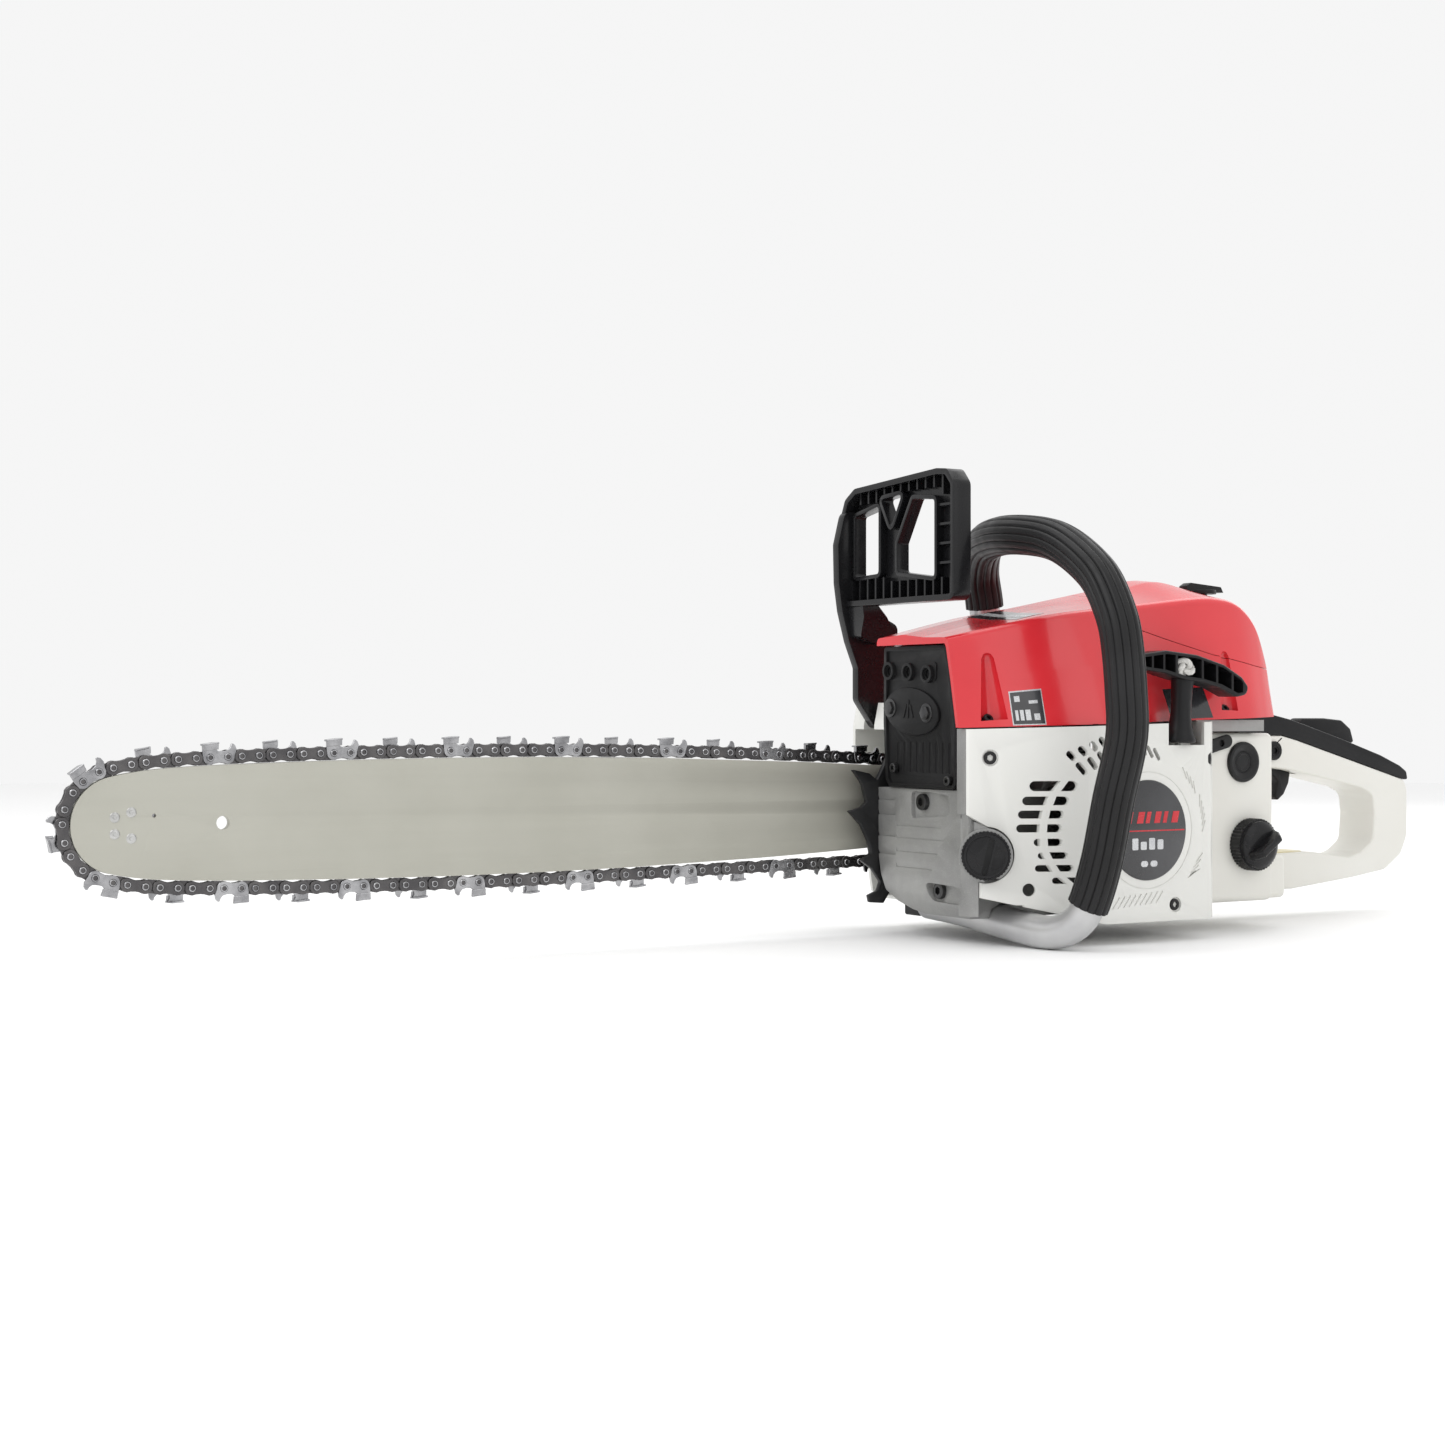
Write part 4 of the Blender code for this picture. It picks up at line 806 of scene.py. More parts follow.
# ---------------------------------------------------------------- cutting gear
@dataclass
class CuttingGear:
    """Guide bar, the saw chain of separate links and the spiked bumper."""

    long_step: float = 0.00916
    first_cutter_x: float = -0.4951
    strap_inner: float = 0.00075
    strap_outer: float = 0.00195
    nose_rivets: Sequence[Point2] = (
        (-0.5507, 0.0639), (-0.5424, 0.0663), (-0.5507, 0.0556), (-0.5424, 0.0533),
    )

    def rivet_outline(self, shift: float) -> list[Point2]:
        """Rivet line of the bar with its nose centre at -shift."""
        nose = arc((-shift, BAR_Z), NOSE_R, 103, 257, 60)
        backs = [0.001 + (BAR_SPAN - 0.001) * i / 60 for i in range(61)]
        widths = [
            0.0354 - (b - 0.1936) ** 2 / 9.4 - 0.0024 * math.exp(-b / 0.015) for b in backs
        ]
        top = [(b - shift, BAR_Z + w) for b, w in zip(backs, widths)]
        bottom = [(b - shift, BAR_Z - w) for b, w in zip(backs, widths)]
        return nose + top + bottom

    @staticmethod
    def hull(points: Outline) -> list[Vector]:
        """Convex ring round the points, anticlockwise."""
        flat = [Vector(p) for p in points]
        loop = [flat[i] for i in convex_hull_2d(flat)]
        area = sum(a.x * b.y - b.x * a.y for a, b in zip(loop, loop[1:] + loop[:1]))
        return loop if area > 0 else loop[::-1]

    @staticmethod
    def length(loop: Sequence[Vector]) -> float:
        """Length round a closed ring."""
        return sum((b - a).length for a, b in zip(loop, [*loop[1:], loop[0]]))

    def chain_line(self, shift: float) -> list[Vector]:
        """Taut rivet line round the bar and the drive sprocket."""
        return self.hull(self.rivet_outline(shift) + ring((0.0, CRANK_Z), SPROCKET_R, 90))

    def shift(self) -> float:
        """How far forward the nose centre lies when the chain is taut."""
        low, high = 0.52, 0.58
        for _ in range(36):
            middle = (low + high) / 2
            if self.length(self.chain_line(middle)) < RIVETS * PITCH:
                low = middle
            else:
                high = middle
        return (low + high) / 2

    @staticmethod
    def at(loop: Sequence[Vector], distance: float) -> tuple[Vector, Vector]:
        """Point and outward normal at a distance along a closed anticlockwise ring.

        Args:
            loop: The ring.
            distance: How far along it.

        Returns:
            The point and the normal.
        """
        total = CuttingGear.length(loop)
        left = distance % total
        for a, b in zip(loop, [*loop[1:], loop[0]]):
            span = (b - a).length
            if left <= span:
                along = (b - a).normalized()
                return a + along * left, Vector((along.y, -along.x))
            left -= span
        return loop[0], Vector((0.0, 1.0))

    def build(self) -> None:
        """Make bar, chain and bumper."""
        shift = self.shift()
        self.bar(shift)
        self.chain(self.chain_line(shift))
        bumper = Shop.copy_of("spiked_bumper", "bumper_plate")
        Shop.dress(
            Shop.round_edges(bumper, 0.0007, 2, 28), BLACK_STEEL, Body.FRAME, "black_steel",
            "spiked_bumper",
        )
        for i, z in enumerate((0.040, 0.080)):
            head = Shop.lathe(
                f"bumper_bolt_{i + 1}",
                [(0, 0.0042), (0.0030, 0.0042), (0.0036, 0.0036), (0.0036, 0.0), (0, 0)],
                (-0.094, 0.0282, z), (0, -1, 0), 20,
            )
            self.hex_well(head, (-0.094, 0.0282 - 0.0042, z))
            Shop.dress(Shop.smooth(head), DARK_STEEL, Body.FRAME, "dark_steel")

    @staticmethod
    def hex_well(head: bpy.types.Object, mouth: Point3) -> None:
        """Cut a hexagon key's well into a bolt head that faces -Y."""
        Shop.carve(
            head,
            Shop.slab(
                "well", ring((mouth[0], mouth[2]), 0.0019, 6), Plane.XZ, mouth[1] - 0.001, mouth[1] + 0.0022
            ),
        )

    def bar(self, shift: float) -> None:
        """Bar plate with its rails, holes and the riveted nose."""
        outer = self.hull(self.rivet_outline(shift))
        total = self.length(outer)
        spots = [self.at(outer, total * i / 320) for i in range(320)]
        edge = [tuple(p - n * RAIL_INSET) for p, n in spots]
        holes = [
            pill((-0.070, BAR_Z), 0.0606, 0.0086), ring((-0.4955, BAR_Z), 0.0035),
            ring((-0.5309, 0.0644), 0.0010, 14), ring((-0.071, BAR_Z + 0.014), 0.0030, 18),
            ring((-0.071, BAR_Z - 0.014), 0.0030, 18),
        ]
        plate = Shop.slab("bar_plate", edge, Plane.XZ, BAR_Y - 0.0023, BAR_Y + 0.0023, holes)
        Shop.round_edges(plate, 0.00035, 2, 40)
        Shop.dress(plate, BAR_STEEL, Body.FRAME, "bar_steel", "guide_bar")
        heads: list[bpy.types.Object] = []
        dome = [
            (0, 0.00018), (0.0008, 0.00022), (0.0012, 0.00052), (0.0019, 0.00050), (0.0024, 0.00022),
            (0.0027, -0.0001), (0, -0.0001),
        ]
        for x, z in self.nose_rivets:
            for y, way in ((BAR_Y - 0.0023, -1), (BAR_Y + 0.0023, 1)):
                heads.append(Shop.lathe("head", dome, (x, y, z), (0, way, 0), 20))
        rivets = Shop.smooth(Shop.gather("bar_nose_rivets", heads))
        Shop.dress(rivets, MACHINED, Body.FRAME, "bar_steel")

    def strap(self, name: str, low: float, high: float) -> bpy.types.Object:
        """Side link: two round eyes with a waist between them, drawn along its own length.

        Args:
            name: The object's name.
            low: Near face across the chain.
            high: Far face.

        Returns:
            The link.
        """
        far = self.long_step
        outline = (
            arc((far, 0), 0.0037, -122, 122, 9) + [(far / 2, 0.0029)]
            + arc((0, 0), 0.0037, 58, 302, 9) + [(far / 2, -0.0027)]
        )
        link = Shop.slab(name, outline, Plane.XY, low, high)
        return Shop.modify(link, "BEVEL", width=0.00022, segments=1, limit_method="ANGLE",
                           angle_limit=math.radians(50))

    def cutter(self, name: str, side: int) -> bpy.types.Object:
        """Cutting link: side plate with its depth gauge, round gullet and a turned-over top plate.

        Args:
            name: The object's name.
            side: -1 on the starter side, 1 on the clutch side.

        Returns:
            The link.
        """
        far = self.long_step
        outline = (
            arc((far, 0), 0.0037, -122, 0, 5)
            + [(0.0131, 0.0016), (0.0131, 0.0070), (0.0052, 0.0074), (0.0062, 0.0052), (0.0060, 0.0040)]
            + [(0.0045, 0.0030), (0.0018, 0.0029), (-0.0004, 0.0036), (-0.0016, 0.0050)]
            + [(-0.0020, 0.0066), (-0.0030, 0.0068), (-0.0042, 0.0056), (-0.0047, 0.0034)]
            + arc((0, 0), 0.0037, 175, 302, 5) + [(far / 2, -0.0027)]
        )
        low, high = sorted((side * self.strap_inner, side * (self.strap_outer + 0.0001)))
        link = Shop.slab(name, outline, Plane.XY, low, high)
        reach = -side * 0.0016
        out = side * 0.0033
        top = [(0.0046, out), (0.0131, out * 0.94), (0.0131, reach), (0.0068, reach)]
        plate = Shop.slab("plate", top, Plane.XZ, 0.0070, 0.0080)
        for vertex in plate.data.vertices:
            vertex.co.y -= (vertex.co.x - 0.0046) * 0.11
            vertex.co.y -= 0.12 * abs(vertex.co.z - side * 0.0016) * (1 if vertex.co.z * side > 0 else 0)
        wall = Shop.slab(
            "wall", [(0.0050, 0.0040), (0.0129, 0.0034), (0.0130, 0.0071), (0.0048, 0.0076)], Plane.XY,
            *sorted((side * 0.0019, side * 0.0031)),
        )
        made = Shop.gather(name, [link, plate, wall])
        return Shop.modify(made, "BEVEL", width=0.00018, segments=1, limit_method="ANGLE",
                           angle_limit=math.radians(50))

    def rivet(self) -> bpy.types.Object:
        """Rivet with a bright peened ring round a well at both ends; the well is painted dark as painted
        shade.
        """
        half = [
            (0.0, 0.00205), (0.00105, 0.00210), (0.00125, 0.00262), (0.00165, 0.00268),
            (0.00205, 0.00225), (0.00205, 0.0),
        ]
        profile = half + [(r, -h) for r, h in half[-2::-1]]
        made = Shop.lathe("rivet", profile, (0, 0, 0), (0, 0, 1), 14)
        made.data.materials.append(CHROME.material())
        made.data.materials.append(LINK_STEEL.material())
        # Faces within 0.9 mm of the axis, the floor of the well, take the dark link steel: painted shade in
        # the well.
        for face in made.data.polygons:
            flat = math.hypot(face.center.x, face.center.y)
            face.material_index = int(flat < 0.0009)
        return made

    def drive_link(self) -> bpy.types.Object:
        """Middle link between two side links, with its humped back."""
        far = 2 * PITCH - self.long_step
        outline = (
            arc((far, 0), 0.0034, -100, 110, 7) + [(far / 2, 0.0031)] + arc((0, 0), 0.0034, 70, 280, 7)
            + [(0.0016, -0.0037), (far - 0.0016, -0.0037)]
        )
        return Shop.slab("drive", outline, Plane.XY, -0.00065, 0.00065)

    def chain(self, loop: Sequence[Vector]) -> None:
        """Lay every link of the chain round its loop.

        Args:
            loop: The taut rivet line.
        """
        total = self.length(loop)
        start = next(
            d for d in (total * i / 4000 for i in range(4000))
            if (lambda p: p.x > self.first_cutter_x and p.y < BAR_Z - 0.02)(self.at(loop, d)[0])
            and (lambda p: p.x < self.first_cutter_x + 0.01)(self.at(loop, d)[0])
        )
        kinds = {
            "near": self.strap("near", -self.strap_outer, -self.strap_inner),
            "far": self.strap("far", self.strap_inner, self.strap_outer),
            "near_cutter": self.cutter("near_cutter", -1),
            "far_cutter": self.cutter("far_cutter", 1),
            "rivet": self.rivet(),
            "drive": self.drive_link(),
        }
        laid: dict[str, list[bpy.types.Object]] = {name: [] for name in kinds}
        for i in range(RIVETS // 2):
            at = start + i * 2 * PITCH
            first, second = self.at(loop, at)[0], self.at(loop, at + self.long_step)[0]
            third = self.at(loop, at + 2 * PITCH)[0]
            pair, middle = self.placing(first, second), self.placing(second, third)
            self.lay(laid, kinds, "near_cutter" if i % 4 == 0 else "near", pair)
            self.lay(laid, kinds, "far_cutter" if i % 4 == 2 else "far", pair)
            self.lay(laid, kinds, "drive", middle)
            self.lay(laid, kinds, "rivet", pair)
            self.lay(laid, kinds, "rivet", middle)
        for source in kinds.values():
            bpy.data.objects.remove(source, do_unlink=True)
        straps = Shop.smooth(Shop.gather("chain_side_links", laid["near"] + laid["far"]), 40)
        Shop.dress(straps, LINK_STEEL, Body.FRAME, "chrome_steel", "saw_chain")
        Shop.dress(
            Shop.smooth(Shop.gather("chain_drive_links", laid["drive"]), 40), LINK_STEEL, Body.FRAME,
            "chrome_steel",
        )
        for name, kind in (("chain_cutters_left", "near_cutter"), ("chain_cutters_right", "far_cutter")):
            Shop.dress(
                Shop.smooth(Shop.gather(name, laid[kind]), 30), CHROME, Body.FRAME, "chrome_steel"
            )
        Shop.dress(
            Shop.smooth(Shop.gather("chain_rivets", laid["rivet"]), 50), CHROME, Body.FRAME,
            "chrome_steel",
        )

    @staticmethod
    def placing(first: Vector, second: Vector) -> Matrix:
        """Matrix that puts a link's own length on the line between two rivets."""
        u = (second - first).normalized()
        v = Vector((u.y, -u.x))
        return Matrix((
            (u.x, v.x, 0, first.x), (0, 0, 1, BAR_Y), (u.y, v.y, 0, first.y), (0, 0, 0, 1),
        ))

    @staticmethod
    def lay(
        laid: dict[str, list[bpy.types.Object]], kinds: dict[str, bpy.types.Object], kind: str,
        place: Matrix,
    ) -> None:
        """Copy one kind of link with its own mesh and lay it in place.

        Args:
            laid: The copies so far.
            kinds: One model of each kind.
            kind: Which to copy.
            place: Where it goes.
        """
        mesh = kinds[kind].data.copy()
        mesh.transform(place)
        link = bpy.data.objects.new(kind, mesh)
        bpy.context.scene.collection.objects.link(link)
        laid[kind].append(link)


def knurled(centre: Point2, radius: float, teeth: int, depth: float) -> list[Point2]:
    """A circle with shallow round teeth."""
    out: list[Point2] = []
    for i in range(teeth * 4):
        angle = 2 * math.pi * i / (teeth * 4)
        reach = radius - depth * (0.5 - 0.5 * math.cos(angle * teeth))
        out.append((centre[0] + reach * math.cos(angle), centre[1] + reach * math.sin(angle)))
    return out


def inset(outline: Outline, by: float) -> list[Point2]:
    """Move every point of an outline inwards by a distance, whichever way it runs."""
    area = sum(
        a[0] * b[1] - b[0] * a[1] for a, b in zip(outline, [*outline[1:], outline[0]])
    )
    turned = list(outline) if area > 0 else list(outline)[::-1]
    return grown(turned, -by)


def mapped(outline: Outline, move: Callable[[float, float], Point2]) -> list[Point2]:
    """An outline with every point moved by a function."""
    return [move(x, y) for x, y in outline]


@dataclass(frozen=True)
class Screw:
    """Socket screw whose head stands in a round recess.

    Attributes:
        at: Middle of the head's outer face.
        way: Outward direction.
        radius: Radius of the head.
    """

    at: Point3
    way: Point3
    radius: float = 0.0040

    def stand(self) -> Matrix:
        """Matrix that puts a shape drawn along +Z at the screw."""
        turn = Vector((0, 0, 1)).rotation_difference(Vector(self.way).normalized())
        return Matrix.Translation(self.at) @ turn.to_matrix().to_4x4()

    def recess(self, depth: float = 0.0012) -> bpy.types.Object:
        """Cutter for the recess."""
        way = Vector(self.way).normalized()
        start = Vector(self.at) - way * depth
        return Shop.rod("recess", start, way, depth + 0.004, self.radius + 0.0010, 28)

    def head(self) -> bpy.types.Object:
        """The head with its rounded rim and a hexagon well."""
        r = self.radius
        profile = [
            (0.0, 0.0), (r * 0.84, 0.0), (r * 0.95, -0.0002), (r, -0.0007), (r, -0.0030), (0.0, -0.0030),
        ]
        made = Shop.lathe("screw", profile, (0, 0, 0), (0, 0, 1), 28)
        Shop.carve(made, Shop.slab("well", ring((0, 0), r * 0.52, 6), Plane.XY, -0.0022, 0.001))
        made.data.transform(self.stand())
        return made


# ---------------------------------------------------------------- starter side
@dataclass
class StarterSide:
    """Starter cover with its air slots, screws and round badge."""

    face_from: Point2 = (-0.1000, -0.0620)
    face_to: Point2 = (-0.0420, -0.0890)
    badge_at: Point2 = (0.0, 0.049)
    badge_radius: float = 0.0285
    slot_rows: Sequence[tuple[float, float, float, float, float, float]] = (
        (0.0747, 0.0030, -0.0725, -0.0563, 0.66, -0.0474),
        (0.0665, 0.0026, -0.0762, -0.0614, 0.33, -0.0518),
        (0.0589, 0.0024, -0.0784, -0.0641, 0.20, -0.0546),
        (0.0512, 0.0024, -0.0793, -0.0653, 0.05, -0.0557),
        (0.0434, 0.0022, -0.0703, -0.0650, -0.07, -0.0553),
        (0.0360, 0.0020, -0.0682, -0.0633, -0.45, -0.0525),
        (0.0289, 0.0020, -0.0697, -0.0597, -0.57, -0.0495),
        (0.0220, 0.0019, -0.0609, -0.0533, -1.00, -0.0453),
    )
    rib_half: float = 0.0019

    def screws(self) -> list[Screw]:
        """The cover's screws."""
        slant = (self.face_to[1] - self.face_from[1]) / (self.face_to[0] - self.face_from[0])
        x = -0.0927
        y = self.face_from[1] + (x - self.face_from[0]) * slant
        return [
            Screw((x, y - 0.0001, 0.0905), (slant, -1.0, 0.0), 0.0037),
            Screw((0.0497, -0.0883, 0.0890), (0.65, -0.76, 0.0), 0.0034),
            Screw((0.0210, COVER_Y, 0.0060), (0.0, -1.0, 0.0), 0.0034),
        ]

    def build(self) -> None:
        """Make the cover, its screws and the badge."""
        cover = self.shell()
        self.cut_louvres(cover)
        screws = self.screws()
        for screw in screws:
            Shop.carve(cover, screw.recess())
        Shop.round_edges(cover, 0.0005, 2, 40)
        self.cut_slots(cover)
        Shop.dress(Shop.smooth(cover, 34), WHITE, Body.FRAME, "white_plastic", "starter_cover")
        heads = Shop.gather("starter_cover_screws", [screw.head() for screw in screws])
        Shop.dress(Shop.smooth(heads), BLACK_STEEL, Body.FRAME, "black_steel")
        self.badge()

    def shell(self) -> bpy.types.Object:
        """Plan outline pulled up, cut along the slanted joint and hollowed."""
        plan = filleted([
            (-0.1046, -0.0523), (-0.1046, -0.0598), self.face_from, self.face_to, (-0.0380, COVER_Y),
            (0.0480, COVER_Y), (0.0550, -0.0840), (0.0550, -0.0523),
        ], 0.0035, 5)
        cover = Shop.slab("starter_cover_shell", plan, Plane.XY, -0.0030, 0.1200)
        room = Shop.slab("room", filleted([
            (-0.1025, -0.0300), (-0.1025, -0.0565), (-0.0985, -0.0600), (-0.0415, -0.0865),
            (0.0470, -0.0875), (0.0525, -0.0825), (0.0525, -0.0300),
        ], 0.002, 3), Plane.XY, -0.0005, 0.1300)
        top = Shop.slab("top", [
            (-0.12, joint_height(-0.12) - 0.0012), (0.07, joint_height(0.07) - 0.0012), (0.07, 0.14),
            (-0.12, 0.14),
        ], Plane.XZ, -0.11, -0.03)
        corner = Shop.slab("corner", filleted([
            (-0.1300, -0.0200), (-0.0968, -0.0200), (-0.0968, 0.0236), (-0.0870, 0.0330),
            (-0.0870, 0.0470), (-0.0925, 0.0514), (-0.1043, 0.0589), (-0.1300, 0.0589),
        ], 0.0012, 3), Plane.XZ, -0.1000, -0.0300)
        edge = Shop.block("edge", (-0.1200, -0.0588, -0.0100), (-0.0985, -0.0400, 0.1300))
        boss = Shop.rod("boss", OilSide.ROOT, OilSide.WAY, 0.060, 0.0158, 48)
        toe = Shop.slab(
            "toe", [(-0.12, -0.01), (-0.030, -0.01), (-0.030, -0.003), (-0.12, 0.018)], Plane.XZ, -0.11, -0.03
        )
        notch = Shop.block("notch", (0.0160, -0.0950, 0.0970), (0.0430, -0.0760, 0.1400))
        Shop.carve(cover, top, corner, edge, boss, toe, notch, room)
        shelf = Shop.block("shelf", (0.0140, -0.0892, 0.0930), (0.0450, -0.0740, 0.0968))
        back = Shop.block("back", (0.0140, -0.0762, 0.0930), (0.0450, -0.0740, 0.1085))
        window = Shop.slab(
            "window", filleted([(-0.0885, 0.0015), (-0.0745, 0.0015), (-0.0745, 0.0085), (-0.0885, 0.0085)],
                               0.0012, 3), Plane.XZ, -0.0900, -0.0500,
        )
        grommet = Shop.rod("grommet", (-0.0707, -0.0700, 0.0170), (-0.42, -0.9, 0), 0.02, 0.0036, 28)
        slit = Shop.slab("slit", [(0.0320, 0.0215), (0.0392, 0.0253), (0.0400, 0.0262), (0.0335, 0.0232)],
                         Plane.XZ, -0.0910, -0.0860)
        Shop.fuse(cover, shelf, back)
        return Shop.carve(cover, window, grommet, slit)

    def cut_slots(self, cover: bpy.types.Object) -> None:
        """Cut the two columns of round-ended slots and the slanted pairs above them."""
        outlines: list[list[Point2]] = []
        for z, half, low, rib, lean, high in self.slot_rows:
            for side, end in ((-1, low), (1, high)):
                root = rib + side * self.rib_half
                start = -90 if side > 0 else 270
                round_end = arc((end - side * half * 0.92, z), half * 0.94, start, 90, 10)
                outlines.append([
                    (root - lean * half, z - half * 0.94), *round_end, (root + lean * half, z + half * 0.94),
                ])
        for i in range(4):
            outlines.append(pill((-0.0508 + 0.0060 * i, 0.0915 + 0.0026 * i), 0.0066, 0.0038, -48))
            outlines.append(pill((-0.0455 + 0.0060 * i, 0.0843 + 0.0030 * i), 0.0084, 0.0036, -52))
        for i in range(3):
            outlines.append(pill((-0.0030 + 0.0050 * i, 0.0948 - 0.0014 * i), 0.0082, 0.0024, -58))
        cutters = [
            Shop.slab("slot", outline, Plane.XZ, -0.0950, -0.0560) for outline in outlines
        ]
        Shop.carve(cover, Shop.gather("slots", cutters))

    def cut_louvres(self, cover: bpy.types.Object) -> None:
        """Cut the shallow grooves round the badge and below it."""
        cx, cz = self.badge_at
        grooves: list[bpy.types.Object] = []
        for turn in (*range(-38, -18, 5), *range(2, 24, 5), *range(34, 52, 5)):
            angle = math.radians(turn)
            at = (cx + 0.0425 * math.cos(angle), cz + 0.0425 * math.sin(angle))
            grooves.append(
                Shop.slab("louvre", pill(at, 0.0075, 0.0011, turn + 68, 4), Plane.XZ, -0.0930, -0.0893)
            )
        for i in range(9):
            at = (-0.0230 + 0.0040 * i, 0.0085 + 0.0003 * i)
            grooves.append(
                Shop.slab("louvre", pill(at, 0.0085, 0.0009, 52, 4), Plane.XZ, -0.0930, -0.0892)
            )
        band = Shop.slab(
            "band", ring(self.badge_at, 0.0334, 72), Plane.XZ, -0.0930, -0.0896,
            [ring(self.badge_at, 0.0328, 72)],
        )
        Shop.carve(cover, Shop.gather("louvres", grooves), band)

    def badge(self) -> None:
        """Round film badge with neutral bars in place of any mark."""
        cx, cz = self.badge_at
        r = self.badge_radius
        disc = Shop.lathe(
            "badge_disc",
            [(0, 0.0010), (r - 0.0009, 0.0010), (r - 0.0003, 0.0008), (r, 0.0004), (r, 0.0), (0, 0.0)],
            (cx, COVER_Y, cz), (0, -1, 0), 96,
        )
        Shop.dress(Shop.smooth(disc), FILM, Body.FRAME, "badge_film", "starter_badge")
        face = COVER_Y - 0.0010
        reds = [Shop.slab("line", [(-0.0255, 0.0484), (0.0268, 0.0484), (0.0268, 0.0491), (-0.0255, 0.0491)],
                          Plane.XZ, face - 0.00012, face + 0.0003)]
        for i, width in enumerate((0.0040, 0.0024, 0.0046, 0.0030, 0.0042, 0.0028, 0.0046)):
            x = -0.0215 + 0.0064 * i
            reds.append(Shop.slab(
                "bar", [(x, 0.0530), (x + width, 0.0530), (x + width + 0.0016, 0.0595), (x + 0.0016, 0.0595)],
                Plane.XZ, face - 0.00012, face + 0.0003,
            ))
        Shop.dress(Shop.gather("badge_red_marks", reds), RED_INK, Body.FRAME, "badge_film")
        pales: list[bpy.types.Object] = []
        for i, height in enumerate((0.0066, 0.0046, 0.0066, 0.0056)):
            x = -0.0120 + 0.0062 * i
            bar = filleted([(x, 0.0380), (x + 0.0044, 0.0380), (x + 0.0044, 0.0380 + height),
                            (x, 0.0380 + height)], 0.0008, 3)
            pales.append(Shop.slab("bar", bar, Plane.XZ, face - 0.00012, face + 0.0003))
        for x in (-0.0030, 0.0040):
            bar = pill((x, 0.0300), 0.0052, 0.0034)
            pales.append(Shop.slab("dash", bar, Plane.XZ, face - 0.00012, face + 0.0003))
        Shop.dress(Shop.gather("badge_pale_marks", pales), PALE_FILM, Body.FRAME, "badge_film")


def joint_height(x: float) -> float:
    """Height of the joint line between the red and the white covers."""
    return 0.1075 + 0.006 * (x + 0.108) / 0.234


